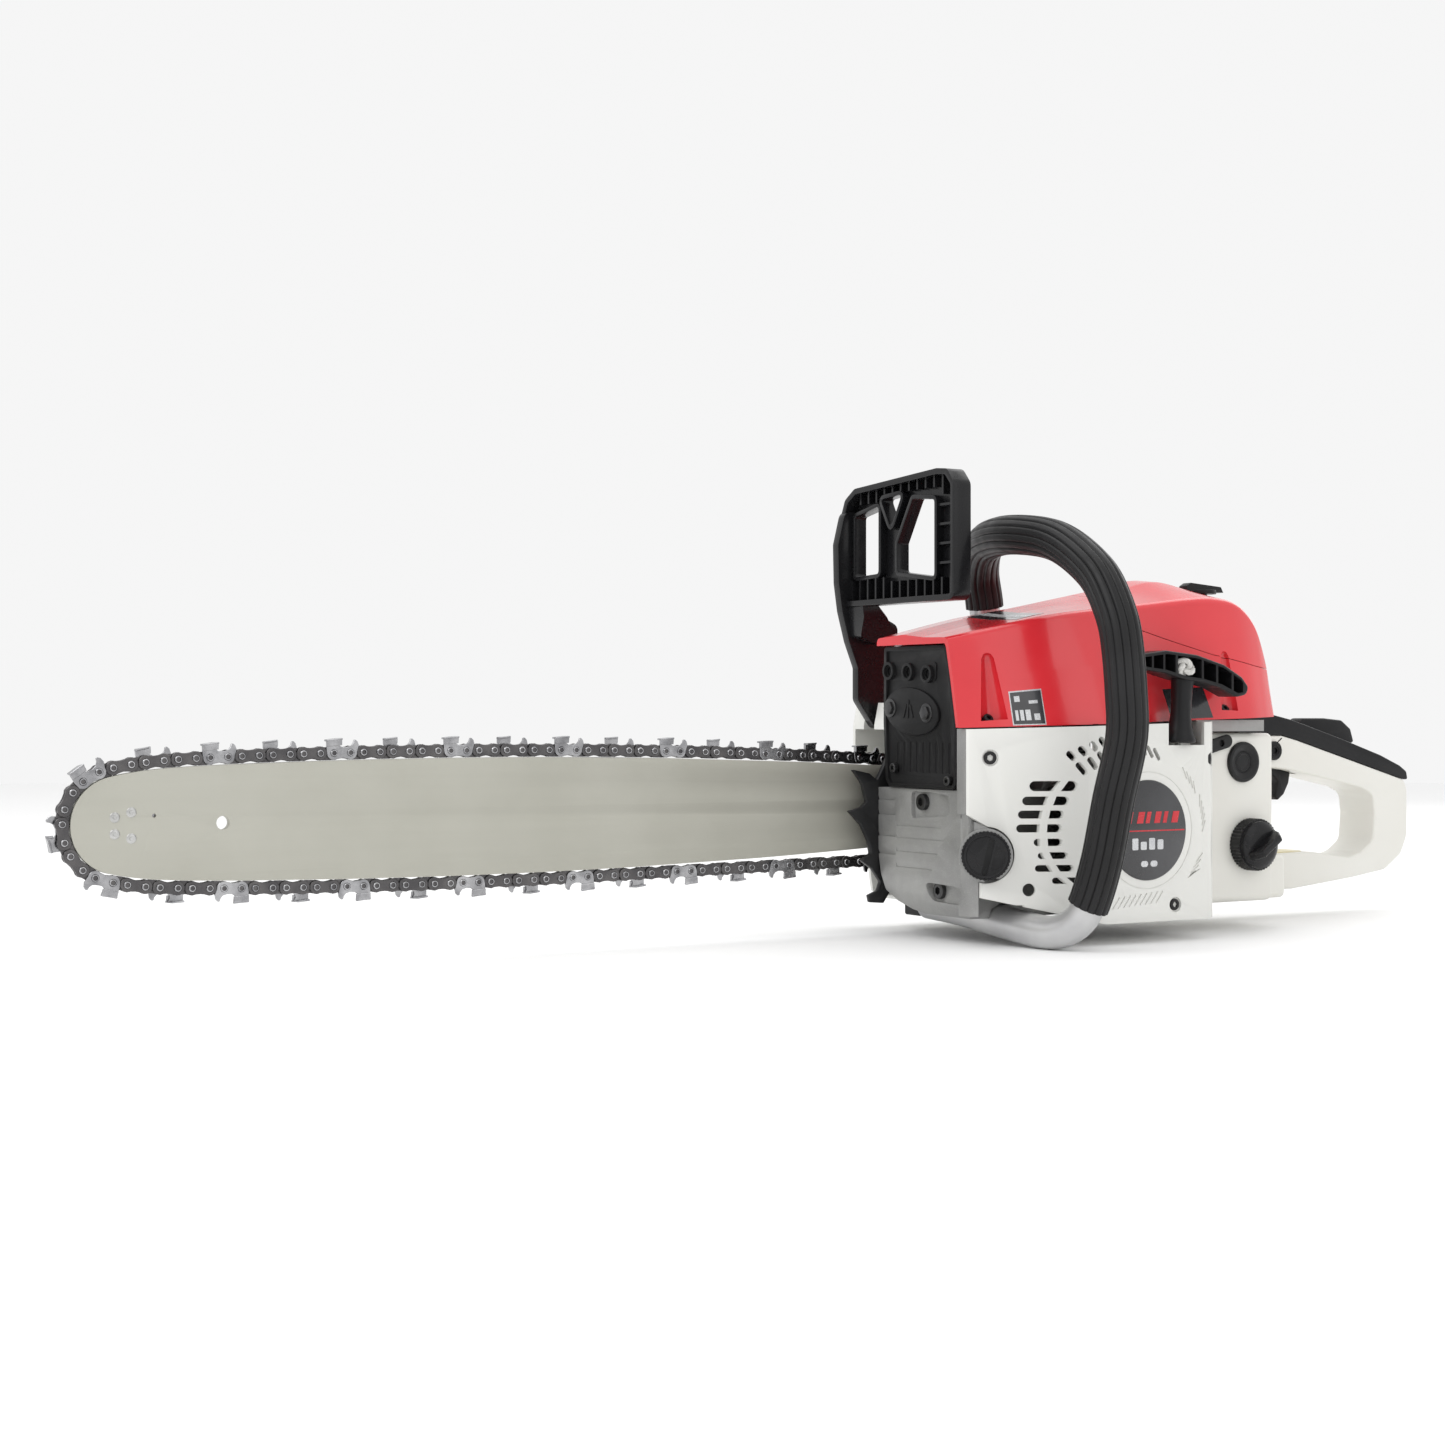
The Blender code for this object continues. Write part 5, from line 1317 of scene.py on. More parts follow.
# ---------------------------------------------------------------- red covers
@dataclass
class Shrouds:
    """Front shroud and filter cover, one smooth form parted along a sloping joint."""

    wall: float = 0.0023
    along: int = 96
    sections: Sequence[tuple[float, float, float, float, float, float]] = (
        (-0.1080, -0.0565, -0.0455, 0.0225, 0.1588, 0.1604),
        (-0.0850, -0.0680, -0.0540, 0.0260, 0.1642, 0.1662),
        (-0.0500, -0.0800, -0.0620, 0.0290, 0.1718, 0.1740),
        (-0.0150, -0.0860, -0.0640, 0.0290, 0.1760, 0.1810),
        (0.0300, -0.0740, -0.0620, 0.0290, 0.1805, 0.1900),
        (0.0570, -0.0740, -0.0610, 0.0290, 0.1830, 0.1962),
        (0.0780, -0.0740, -0.0600, 0.0290, 0.1845, 0.1940),
        (0.0980, -0.0720, -0.0585, 0.0280, 0.1820, 0.1860),
        (0.1130, -0.0670, -0.0570, 0.0260, 0.1710, 0.1735),
        (0.1220, -0.0630, -0.0560, 0.0240, 0.1520, 0.1535),
        (0.1260, -0.0610, -0.0550, 0.0220, 0.1380, 0.1390),
    )

    def measures(self, t: float) -> tuple[float, ...]:
        """Section sizes at a place along the covers; t counts sections."""
        index = min(int(t), len(self.sections) - 2)
        k = t - index
        picks = [
            self.sections[min(max(index + step, 0), len(self.sections) - 1)] for step in (-1, 0, 1, 2)
        ]
        out: list[float] = []
        for a, b, c, d in zip(*picks):
            out.append(0.5 * (
                2 * b + (c - a) * k + (2 * a - 5 * b + 4 * c - d) * k * k
                + (3 * b - a - 3 * c + d) * k ** 3
            ))
        return tuple(out)

    def place_at(self, x: float) -> float:
        """The t whose section lies at x."""
        low, high = 0.0, len(self.sections) - 1.0
        for _ in range(30):
            middle = (low + high) / 2
            if self.measures(middle)[0] < x:
                low = middle
            else:
                high = middle
        return (low + high) / 2

    def section(self, t: float, inward: float, foot: float) -> list[Point3]:
        """One cross-section from the near foot over the ridge to the far foot.

        Args:
            t: Place along the covers.
            inward: How far inside the outer face.
            foot: How far below the joint line it starts.

        Returns:
            Its points.
        """
        x, base_y, near_y, far_y, shoulder, ridge = self.measures(t)
        base = joint_height(x)
        middle = (near_y + far_y) / 2
        lean = base_y * 0.55 + near_y * 0.45
        corners = [
            (base_y + (base_y - lean) * 0.3 * foot / 0.02 + inward, base - foot), (base_y + inward, base),
            (lean + inward, (base + shoulder) / 2), (near_y - 0.0010 + inward, shoulder - 0.0010 - inward),
            (middle - 0.012, ridge - 0.002 - inward), (middle + 0.008, ridge - inward),
            (far_y - inward, shoulder - inward), (far_y - inward, (base + shoulder) / 2),
            (far_y - inward, base - foot),
        ]
        far_round = 0.0035 + 0.0065 * min(max((x + 0.108) / 0.05, 0.0), 1.0)
        radii = (0.0, 0.02, 0.03, 0.0055, 0.02, 0.02, far_round, 0.0, 0.0)
        steps = (1, 4, 6, 9, 8, 8, 9, 1, 1)
        return [(x, y, z) for y, z in self.rounded(corners, radii, steps)]

    @staticmethod
    def rounded(
        corners: Sequence[Point2], radii: Sequence[float], steps: Sequence[int],
    ) -> list[Point2]:
        """Round an open line's corners with a fixed count of points, so that sections match."""
        out: list[Point2] = []
        for i, (corner, radius, count) in enumerate(zip(corners, radii, steps)):
            here = Vector(corner)
            if radius == 0.0 or i in (0, len(corners) - 1):
                out.append(corner)
                continue
            before, after = Vector(corners[i - 1]) - here, Vector(corners[i + 1]) - here
            turn = max(before.angle(after), 0.05)
            back = min(radius / math.tan(turn / 2) if turn < 3.1 else 0.0, 0.45 * before.length,
                       0.45 * after.length)
            back = max(back, 0.0004)
            first, last = here + before.normalized() * back, here + after.normalized() * back
            for k in range(count + 1):
                s = k / count
                out.append(tuple(first * (1 - s) ** 2 + here * (2 * s * (1 - s)) + last * s * s))
        return out

    def form(self, name: str, inward: float, foot: float, front: float, rear: float) -> bpy.types.Object:
        """The covers' form as one closed solid.

        Args:
            name: The object's name.
            inward: How far inside the outer face.
            foot: How far below the joint line it reaches.
            front: Added to the front in X.
            rear: Taken off the rear in X.

        Returns:
            The solid.
        """
        last = self.place_at(0.126 - rear)
        rows = [self.section(last * i / self.along, inward, foot) for i in range(self.along + 1)]
        if front > 0.0:
            rows.insert(0, [(x - front, y, z) for x, y, z in rows[0]])
        across = len(rows[0])
        bpy.ops.mesh.primitive_grid_add(x_subdivisions=across - 1, y_subdivisions=len(rows) - 1, size=1.0)
        made = Shop.named(bpy.context.object, name)
        for vertex, point in zip(made.data.vertices, (p for row in rows for p in row)):
            vertex.co = point
        with Shop.editing(made, False):
            bpy.ops.mesh.select_mode(type="EDGE")
            bpy.ops.mesh.select_non_manifold(extend=False)
            bpy.ops.mesh.edge_face_add()
            bpy.ops.mesh.select_mode(type="VERT")
        self.close_ends(made)
        return Shop.outward(made)

    @staticmethod
    def close_ends(made: bpy.types.Object) -> None:
        """Replace a warped cap by two flat ends and a floor."""
        sheet = bmesh.new()
        sheet.from_mesh(made.data)
        big = [face for face in sheet.faces if len(face.verts) > 4]
        bmesh.ops.delete(sheet, geom=big, context="FACES_ONLY")
        xs = sorted({round(v.co.x, 7) for v in sheet.verts})
        for x in (xs[0], xs[-1]):
            edges = [
                e for e in sheet.edges if e.is_boundary and all(abs(v.co.x - x) < 2e-7 for v in e.verts)
            ]
            ends = [v for v in {v for e in edges for v in e.verts}
                    if sum(e in edges for e in v.link_edges) == 1]
            if len(ends) == 2:
                edges.append(sheet.edges.get(ends) or sheet.edges.new(ends))
            bmesh.ops.contextual_create(sheet, geom=edges)
        rest = [e for e in sheet.edges if e.is_boundary or e.is_wire]
        bmesh.ops.contextual_create(sheet, geom=rest)
        sheet.to_mesh(made.data)
        sheet.free()

    def scoop(self, name: str, x: float, foot_z: float, top: Point2, radius: float) -> bpy.types.Object:
        """Tapered, round-topped cutter for a screw's scoop in the near wall.

        Args:
            name: The object's name.
            x: Middle of the foot.
            foot_z: Height of the foot.
            top: X and Z of the rounded top.
            radius: Radius at the foot.

        Returns:
            The cutter.
        """
        t = self.place_at(x)
        _, base_y, near_y, _, shoulder, _ = self.measures(t)
        base = joint_height(x)
        rise = (top[1] - base) / (shoulder - base)
        start = Vector((x, base_y + radius * 0.08, foot_z))
        tip = Vector((top[0], base_y + (near_y - base_y) * rise - 0.0008, top[1]))
        way = tip - start
        narrow = radius * 0.42
        profile = [(0.0, 0.0), (radius, 0.0), (narrow * 1.12, way.length - narrow)]
        profile += [(narrow * math.cos(a), way.length - narrow + narrow * math.sin(a))
                    for a in (math.radians(15 * i) for i in range(1, 6))]
        return Shop.lathe(name, [*profile, (0.0, way.length)], start, way, 48)

    def build(self) -> None:
        """Make the two covers, their screws, labels and knob."""
        outer = self.form("outer", 0.0, 0.0002, 0.0, 0.0)
        inner = self.form("inner", self.wall, 0.02, 0.02, self.wall)
        Shop.carve(inner, Shop.block("lip", (-0.1400, -0.0600, 0.1545), (-0.1035, 0.0300, 0.1800)))
        scoops = ((-0.0896, 0.1095, (-0.0885, 0.1490), 0.0078), (0.0791, 0.1150, (0.0800, 0.1520), 0.0068))
        for x, foot, top, radius in scoops:
            Shop.carve(inner, self.scoop("pad", x, foot - 0.0022, (top[0], top[1] + 0.003), radius + 0.0024))
        Shop.carve(outer, inner)
        for x, foot, top, radius in scoops:
            Shop.carve(outer, self.scoop("scoop", x, foot + 0.002, top, radius))
        Shop.carve(outer, Shop.block("open_side", (-0.1300, 0.0130, 0.0900), (-0.0880, 0.0500, 0.1545)))
        knob = Shop.rod("knob_way", (0.1035, -0.022, 0.15), (0, 0, 1), 0.06, 0.0040, 24)
        Shop.take(outer)
        bpy.ops.object.duplicate()
        rear = bpy.context.object
        Shop.carve(outer, self.above_parting("above", 0.0004))
        Shop.boolean(rear, self.above_parting("above", 0.0), "INTERSECT")
        Shop.carve(rear, knob)
        for thing, name, node in (
            (outer, "front_shroud", "top_cover"), (rear, "filter_cover_shell", "filter_cover"),
        ):
            Shop.named(thing, name)
            with Shop.editing(thing):
                bpy.ops.mesh.remove_doubles(threshold=4e-6)
            Shop.dress(Shop.smooth(thing, 30), RED, Body.FRAME, "red_plastic", node)
        self.screws()
        self.labels()
        self.knob()

    @staticmethod
    def above_parting(name: str, extra: float) -> bpy.types.Object:
        """Region above the joint between the two covers, grown by a gap."""
        line = [(0.0100, 0.1648), (0.0700, 0.1501), (0.1059, 0.1440), (0.1400, 0.1400)]
        low = [(x - (extra if x < 0.02 else 0.0), z - extra) for x, z in line]
        outline = [*low, (0.1400, 0.2200), (0.0100 - extra, 0.2200)]
        return Shop.slab(name, outline, Plane.XZ, -0.12, 0.06)

    def screws(self) -> None:
        """Dark screw at the foot of each scoop."""
        heads: list[bpy.types.Object] = []
        for x, z in ((-0.0905, 0.1130), (0.0783, 0.1185)):
            y = self.measures(self.place_at(x))[1]
            heads.append(Screw((x, y + 0.0040, z), (0.0, -0.75, 0.65), 0.0030).head())
        Shop.dress(
            Shop.smooth(Shop.gather("shroud_screws", heads)), BLACK_STEEL, Body.FRAME, "black_steel"
        )

    def patch(
        self, name: str, x: Point2, v: Point2, lift: float, steps: Point2 = (10, 8), skew: float = 0.0,
    ) -> bpy.types.Object:
        """Thin film that lies on the near wall.

        Args:
            name: The object's name.
            x: From and to along the cover.
            v: From and to between joint line and shoulder.
            lift: Height over the wall.
            steps: Grid cells along and up.
            skew: How far the upper edge is shifted in x.

        Returns:
            The film.
        """
        nx, nv = int(steps[0]), int(steps[1])
        bpy.ops.mesh.primitive_grid_add(x_subdivisions=nx, y_subdivisions=nv, size=1.0)
        made = Shop.named(bpy.context.object, name)
        for index, vertex in enumerate(made.data.vertices):
            i, j = index % (nx + 1), index // (nx + 1)
            height = v[0] + (v[1] - v[0]) * j / nv
            along = x[0] + (x[1] - x[0]) * i / nx + skew * j / nv
            vertex.co = self.on_wall(along, height, lift)
        with Shop.editing(made):
            bpy.ops.mesh.normals_make_consistent(inside=False)
        face = made.data.polygons[0]
        Shop.modify(made, "SOLIDIFY", thickness=0.0004, offset=-1 if face.normal.y < 0 else 1)
        return Shop.outward(made)

    def on_wall(self, x: float, v: float, lift: float) -> Point3:
        """Point on the near wall; v runs from the joint line to the shoulder."""
        points = self.section(self.place_at(x), 0.0, 0.001)[1:14]
        base, shoulder = joint_height(x), self.measures(self.place_at(x))[4]
        z = base + (shoulder - base) * v
        for a, b in zip(points, points[1:]):
            if a[2] <= z <= b[2]:
                k = (z - a[2]) / max(b[2] - a[2], 1e-9)
                return (x, a[1] + (b[1] - a[1]) * k - lift, z)
        return (x, points[-1][1] - lift, z)

    def labels(self) -> None:
        """Two film labels with neutral marks, and the dark strip on the front shroud's top."""
        frame_film = self.patch("label_frame", (-0.0802, -0.0618), (0.004, 0.335), 0.00010)
        Shop.dress(frame_film, PALE_FILM, Body.FRAME, "badge_film")
        field_film = self.patch("label_field", (-0.0796, -0.0624), (0.015, 0.322), 0.00022)
        Shop.dress(field_film, FILM, Body.FRAME, "badge_film")
        marks = [
            self.patch("mark", (-0.0778, -0.0748), (0.230, 0.285), 0.00032, (3, 2)),
            self.patch("mark", (-0.0700, -0.0650), (0.205, 0.235), 0.00032, (3, 1)),
            self.patch("mark", (-0.0782, -0.0766), (0.050, 0.150), 0.00032, (2, 3)),
            self.patch("mark", (-0.0756, -0.0736), (0.050, 0.150), 0.00032, (2, 3)),
            self.patch("mark", (-0.0726, -0.0698), (0.050, 0.150), 0.00032, (2, 3)),
            self.patch("mark", (-0.0680, -0.0648), (0.050, 0.110), 0.00032, (2, 3)),
        ]
        Shop.dress(Shop.gather("label_marks", marks), PALE_FILM, Body.FRAME, "badge_film")
        second = self.patch("care_label", (0.0331, 0.0649), (0.010, 0.262), 0.00012, (8, 6), -0.0055)
        Shop.dress(second, FILM, Body.FRAME, "badge_film")
        marks = [
            self.patch("mark", (0.0355, 0.0425), (0.195, 0.225), 0.00024, (3, 1)),
            self.patch("mark", (0.0340, 0.0440), (0.150, 0.170), 0.00024, (3, 1)),
            self.patch("mark", (0.0375, 0.0405), (0.085, 0.135), 0.00024, (2, 2)),
            self.patch("mark", (0.0365, 0.0425), (0.040, 0.065), 0.00024, (2, 1)),
        ]
        Shop.dress(Shop.gather("care_label_marks", marks), PALE_FILM, Body.FRAME, "badge_film")
        self.top_strip()

    def top_strip(self) -> None:
        """Dark strip across the front shroud's top, with one pale band."""
        for name, x0, x1, lift, finish in (
            ("top_strip", -0.0640, -0.0440, 0.00014, FILM),
            ("top_strip_band", -0.0570, -0.0515, 0.00026, PALE_FILM),
        ):
            nx, ny = 8, 14
            bpy.ops.mesh.primitive_grid_add(x_subdivisions=nx, y_subdivisions=ny, size=1.0)
            made = Shop.named(bpy.context.object, name)
            for index, vertex in enumerate(made.data.vertices):
                i, j = index % (nx + 1), index // (nx + 1)
                x = x0 + (x1 - x0) * i / nx
                y = -0.0520 + 0.050 * j / ny
                vertex.co = (x, y, self.roof(x, y) + lift)
            Shop.modify(made, "SOLIDIFY", thickness=0.0004, offset=-1)
            Shop.dress(Shop.outward(made), finish, Body.FRAME, "badge_film")

    def roof(self, x: float, y: float) -> float:
        """Height of the covers' top over a place in plan."""
        points = self.section(self.place_at(x), 0.0, 0.001)
        best = 0.0
        for a, b in zip(points, points[1:]):
            low, high = sorted((a[1], b[1]))
            if low <= y <= high and b[1] != a[1]:
                k = (y - a[1]) / (b[1] - a[1])
                best = max(best, a[2] + (b[2] - a[2]) * k)
        return best

    @staticmethod
    def knob() -> None:
        """Winged knob on the filter cover."""
        knob = Shop.copy_of("filter_cover_knob", "filter_cover_wing_knob")
        Shop.round_edges(knob, 0.0007, 3, 28)
        Shop.dress(knob, BLACK, Body.KNOB, "black_plastic", "filter_cover_knob")


# ---------------------------------------------------------------- front of the engine
@dataclass
class MufflerGuard:
    """Ribbed black guard in front of the muffler."""

    ports: Sequence[Point2] = ((0.0141, 0.1398), (-0.0048, 0.1390), (-0.0233, 0.1376))
    bolts: Sequence[Point2] = ((0.0131, 0.1183), (-0.0224, 0.1154))
    small_bolts: Sequence[Point2] = ((0.0101, 0.0835), (-0.0423, 0.0773))
    outline: Sequence[Point2] = (
        (-0.0470, 0.0725), (0.0150, 0.0725), (0.0185, 0.0770), (0.0205, 0.1100), (0.0200, 0.1538),
        (-0.0395, 0.1538), (-0.0430, 0.1430), (-0.0497, 0.1060), (-0.0497, 0.0760),
    )

    def build(self) -> None:
        """Make the guard and its bolts."""
        face = -0.1030
        edge = filleted(self.outline, 0.0030, 4)
        guard = Shop.slab("muffler_guard", edge, Plane.YZ, face, -0.1005)
        rim = Shop.slab("rim", edge, Plane.YZ, -0.1046, face + 0.0006, [inset(edge, 0.0024)])
        lens = mapped(
            ring((0.0, 0.0), 0.0262, 56),
            lambda y, z: (y - 0.0072, 0.1163 + 0.52 * z + 0.08 * y),
        )
        plate = Shop.slab("lens", lens, Plane.YZ, -0.1050, face + 0.0006)
        Shop.round_edges(plate, 0.0008, 2, 35)
        brow = Shop.slab("brow", filleted([
            (-0.0300, 0.1335), (0.0168, 0.1345), (0.0168, 0.1445), (-0.0300, 0.1445),
        ], 0.003, 4), Plane.YZ, -0.1038, face + 0.0006)
        Shop.fuse(guard, rim, plate, brow)
        grooves = [
            Shop.slab("groove", pill((-0.0420 + 0.0062 * i, 0.0900), 0.0180, 0.0024, 90, 4), Plane.YZ,
                      -0.1080, face + 0.0003)
            for i in range(9)
        ]
        Shop.carve(guard, Shop.gather("grooves", grooves))
        for i, (y, z) in enumerate(self.ports):
            Shop.fuse(guard, Shop.rod(f"port_{i}", (face + 0.001, y, z), (-1, 0, 0), 0.0043, 0.0052, 40))
        wells = [Shop.rod("well", (-0.1046, y, z), (-1, 0, 0), 0.004, 0.0036, 32) for y, z in self.ports]
        inner = [Shop.rod("well", (-0.1034, y, z), (-1, 0, 0), 0.006, 0.0027, 28) for y, z in self.ports]
        Shop.carve(guard, Shop.gather("wells", wells), Shop.gather("inner", inner))
        Shop.round_edges(guard, 0.0004, 2, 35)
        Shop.dress(guard, HOT_BLACK, Body.FRAME, "black_plastic", "muffler_cover")
        self.relief()
        heads: list[bpy.types.Object] = []
        for y, z in self.bolts:
            heads.append(Shop.slab("head", ring((y, z), 0.0042, 6), Plane.YZ, -0.1072, -0.1045))
            heads.append(Shop.rod("washer", (-0.1046, y, z), (-1, 0, 0), 0.0010, 0.0056, 36))
        for y, z in self.small_bolts:
            heads.append(Screw((-0.1062, y, z), (-1, 0, 0), 0.0028).head())
        heads = [Shop.round_edges(head, 0.0003, 2, 28) for head in heads]
        made = Shop.gather("muffler_guard_bolts", heads)
        Shop.dress(Shop.smooth(made), DARK_STEEL, Body.FRAME, "dark_steel")

    def relief(self) -> None:
        """Faint raised flame-like strokes between the two bolts."""
        strokes = [
            Shop.slab("stroke", pill((-0.0047 + dy, 0.1165 + dz), length, 0.0016, turn, 5), Plane.YZ,
                      -0.1054, -0.1047)
            for dy, dz, length, turn in (
                (-0.0030, 0.0, 0.0085, 70), (0.0002, 0.0012, 0.0110, 95), (0.0034, 0.0, 0.0085, 112),
            )
        ]
        made = Shop.gather("muffler_guard_relief", strokes)
        Shop.dress(Shop.smooth(made), HOT_BLACK, Body.FRAME, "black_plastic")


@dataclass
class OilSide:
    """Cast crankcase with its pockets and steps, and the oil cap."""

    ROOT: Point3 = (-0.0785, -0.0425, 0.0365)
    WAY: Point3 = (-0.6, -0.8, 0.0)
    cap_at: Point3 = (-0.0965, -0.0665, 0.0365)

    def build(self) -> None:
        """Make the case, its screws and the cap."""
        case = Shop.copy_of("crankcase", "cast_crankcase")
        pockets = [
            Shop.slab("pocket", filleted([(-0.0420, 0.0600), (-0.0380, 0.0570), (-0.0050, 0.0548),
                                          (-0.0050, 0.0705), (-0.0230, 0.0705), (-0.0400, 0.0690)],
                                         0.003, 4), Plane.YZ, -0.1100, -0.1004),
            Shop.slab("pocket", filleted([(-0.0520, 0.0100), (-0.0480, 0.0075), (-0.0240, 0.0085),
                                          (-0.0175, 0.0190), (-0.0520, 0.0180)], 0.003, 4), Plane.YZ,
                      -0.1120, -0.0985),
        ]
        belly = Shop.slab("belly", [
            (0.0600, 0.0400), (0.0282, 0.0400), (0.0276, 0.0310), (0.0255, 0.0215), (0.0208, 0.0130),
            (0.0130, 0.0062), (0.0020, 0.0020), (-0.0100, -0.0002), (-0.0100, -0.0100), (0.0600, -0.0100),
        ], Plane.YZ, -0.1200, -0.0660)
        corners = [
            Shop.block("corner", (-0.0971, -0.0800, -0.0100), (-0.0800, -0.0523, 0.0238)),
            Shop.slab("corner", [
                (-0.0868, 0.0468), (-0.0922, 0.0510), (-0.0988, 0.0552), (-0.0988, 0.0620), (-0.0700, 0.0620),
                (-0.0700, 0.0468),
            ], Plane.XZ, -0.0800, -0.0523),
        ]
        steps = [
            Shop.slab("step", [(-0.1060, z), (-0.1022, z), (-0.1034, z + 0.0040), (-0.1060, z + 0.0040)],
                      Plane.XZ, low, high)
            for z, low, high in (
                (0.0262, -0.0250, 0.0100), (0.0330, 0.0110, 0.0300), (0.0352, -0.0300, 0.0100),
                (0.0430, -0.0360, 0.0100), (0.0435, 0.0110, 0.0300), (0.0500, -0.0330, 0.0100),
                (0.0560, 0.0110, 0.0300), (0.0645, 0.0110, 0.0300),
            )
        ]
        strip = Shop.slab("strip", filleted([
            (-0.1046, -0.0501), (-0.1046, -0.0584), (-0.0990, -0.0584), (-0.0990, -0.0501),
        ], 0.0008, 3), Plane.XY, 0.0592, 0.1066)
        root = Shop.block("root", (-0.1026, -0.0584, 0.0450), (-0.0990, -0.0501, 0.0600))
        Shop.fuse(case, root, strip)
        Shop.carve(case, Shop.gather("pockets", pockets), Shop.gather("steps", steps), belly, *corners)
        Shop.round_edges(case, 0.0008, 2, 40)
        Shop.dress(case, CAST, Body.FRAME, "cast_alloy", "crankcase")
        screws = [
            Screw((-0.1034, -0.0143, 0.0645), (-1, 0, 0), 0.0048).head(),
            Screw((-0.1012, -0.0278, 0.0146), (-1, 0, 0), 0.0048).head(),
        ]
        made = Shop.gather("crankcase_screws", screws)
        Shop.dress(Shop.smooth(made), DARK_STEEL, Body.FRAME, "dark_steel")
        self.cap()

    def cap(self) -> None:
        """Round cap with a fine edge, a raised half and a coin slot."""
        disc = Shop.slab("oil_filler_cap", knurled((0, 0), 0.0138, 40, 0.0005), Plane.XY, 0.0003, 0.0046)
        crown = Shop.lathe("crown", [
            (0.0, 0.0060), (0.0108, 0.0060), (0.0120, 0.0056), (0.0127, 0.0045), (0.0, 0.0045),
        ], (0, 0, 0), (0, 0, 1), 56)
        half = Shop.slab("half", arc((0, 0), 0.0106, 0, 180, 20), Plane.XY, 0.0055, 0.0075)
        rim = Shop.slab("rim", ring((0, 0), 0.0122, 48), Plane.XY, 0.0050, 0.0068,
                        [ring((0, 0), 0.0108, 48)])
        Shop.fuse(disc, crown, rim, half)
        slot = Shop.slab("slot", pill((0, -0.0012), 0.0215, 0.0034), Plane.XY, 0.0026, 0.0100)
        well = Shop.slab("well", arc((0, -0.0034), 0.0070, 185, 355, 16), Plane.XY, 0.0046, 0.0100)
        Shop.carve(disc, slot, well)
        spigot = Shop.rod("spigot", (0, 0, -0.0080), (0, 0, 1), 0.0090, 0.0107, 32)
        Shop.fuse(disc, spigot)
        Shop.round_edges(disc, 0.00035, 2, 32)
        turn = Vector((0, 0, 1)).rotation_difference(Vector(self.WAY)).to_matrix().to_4x4()
        disc.data.transform(
            Matrix.Translation(self.cap_at) @ turn @ Matrix.Rotation(math.radians(40), 4, "Z")
        )
        Shop.dress(disc, BLACK_GLOSS, Body.OIL_CAP, "black_plastic", "oil_cap")


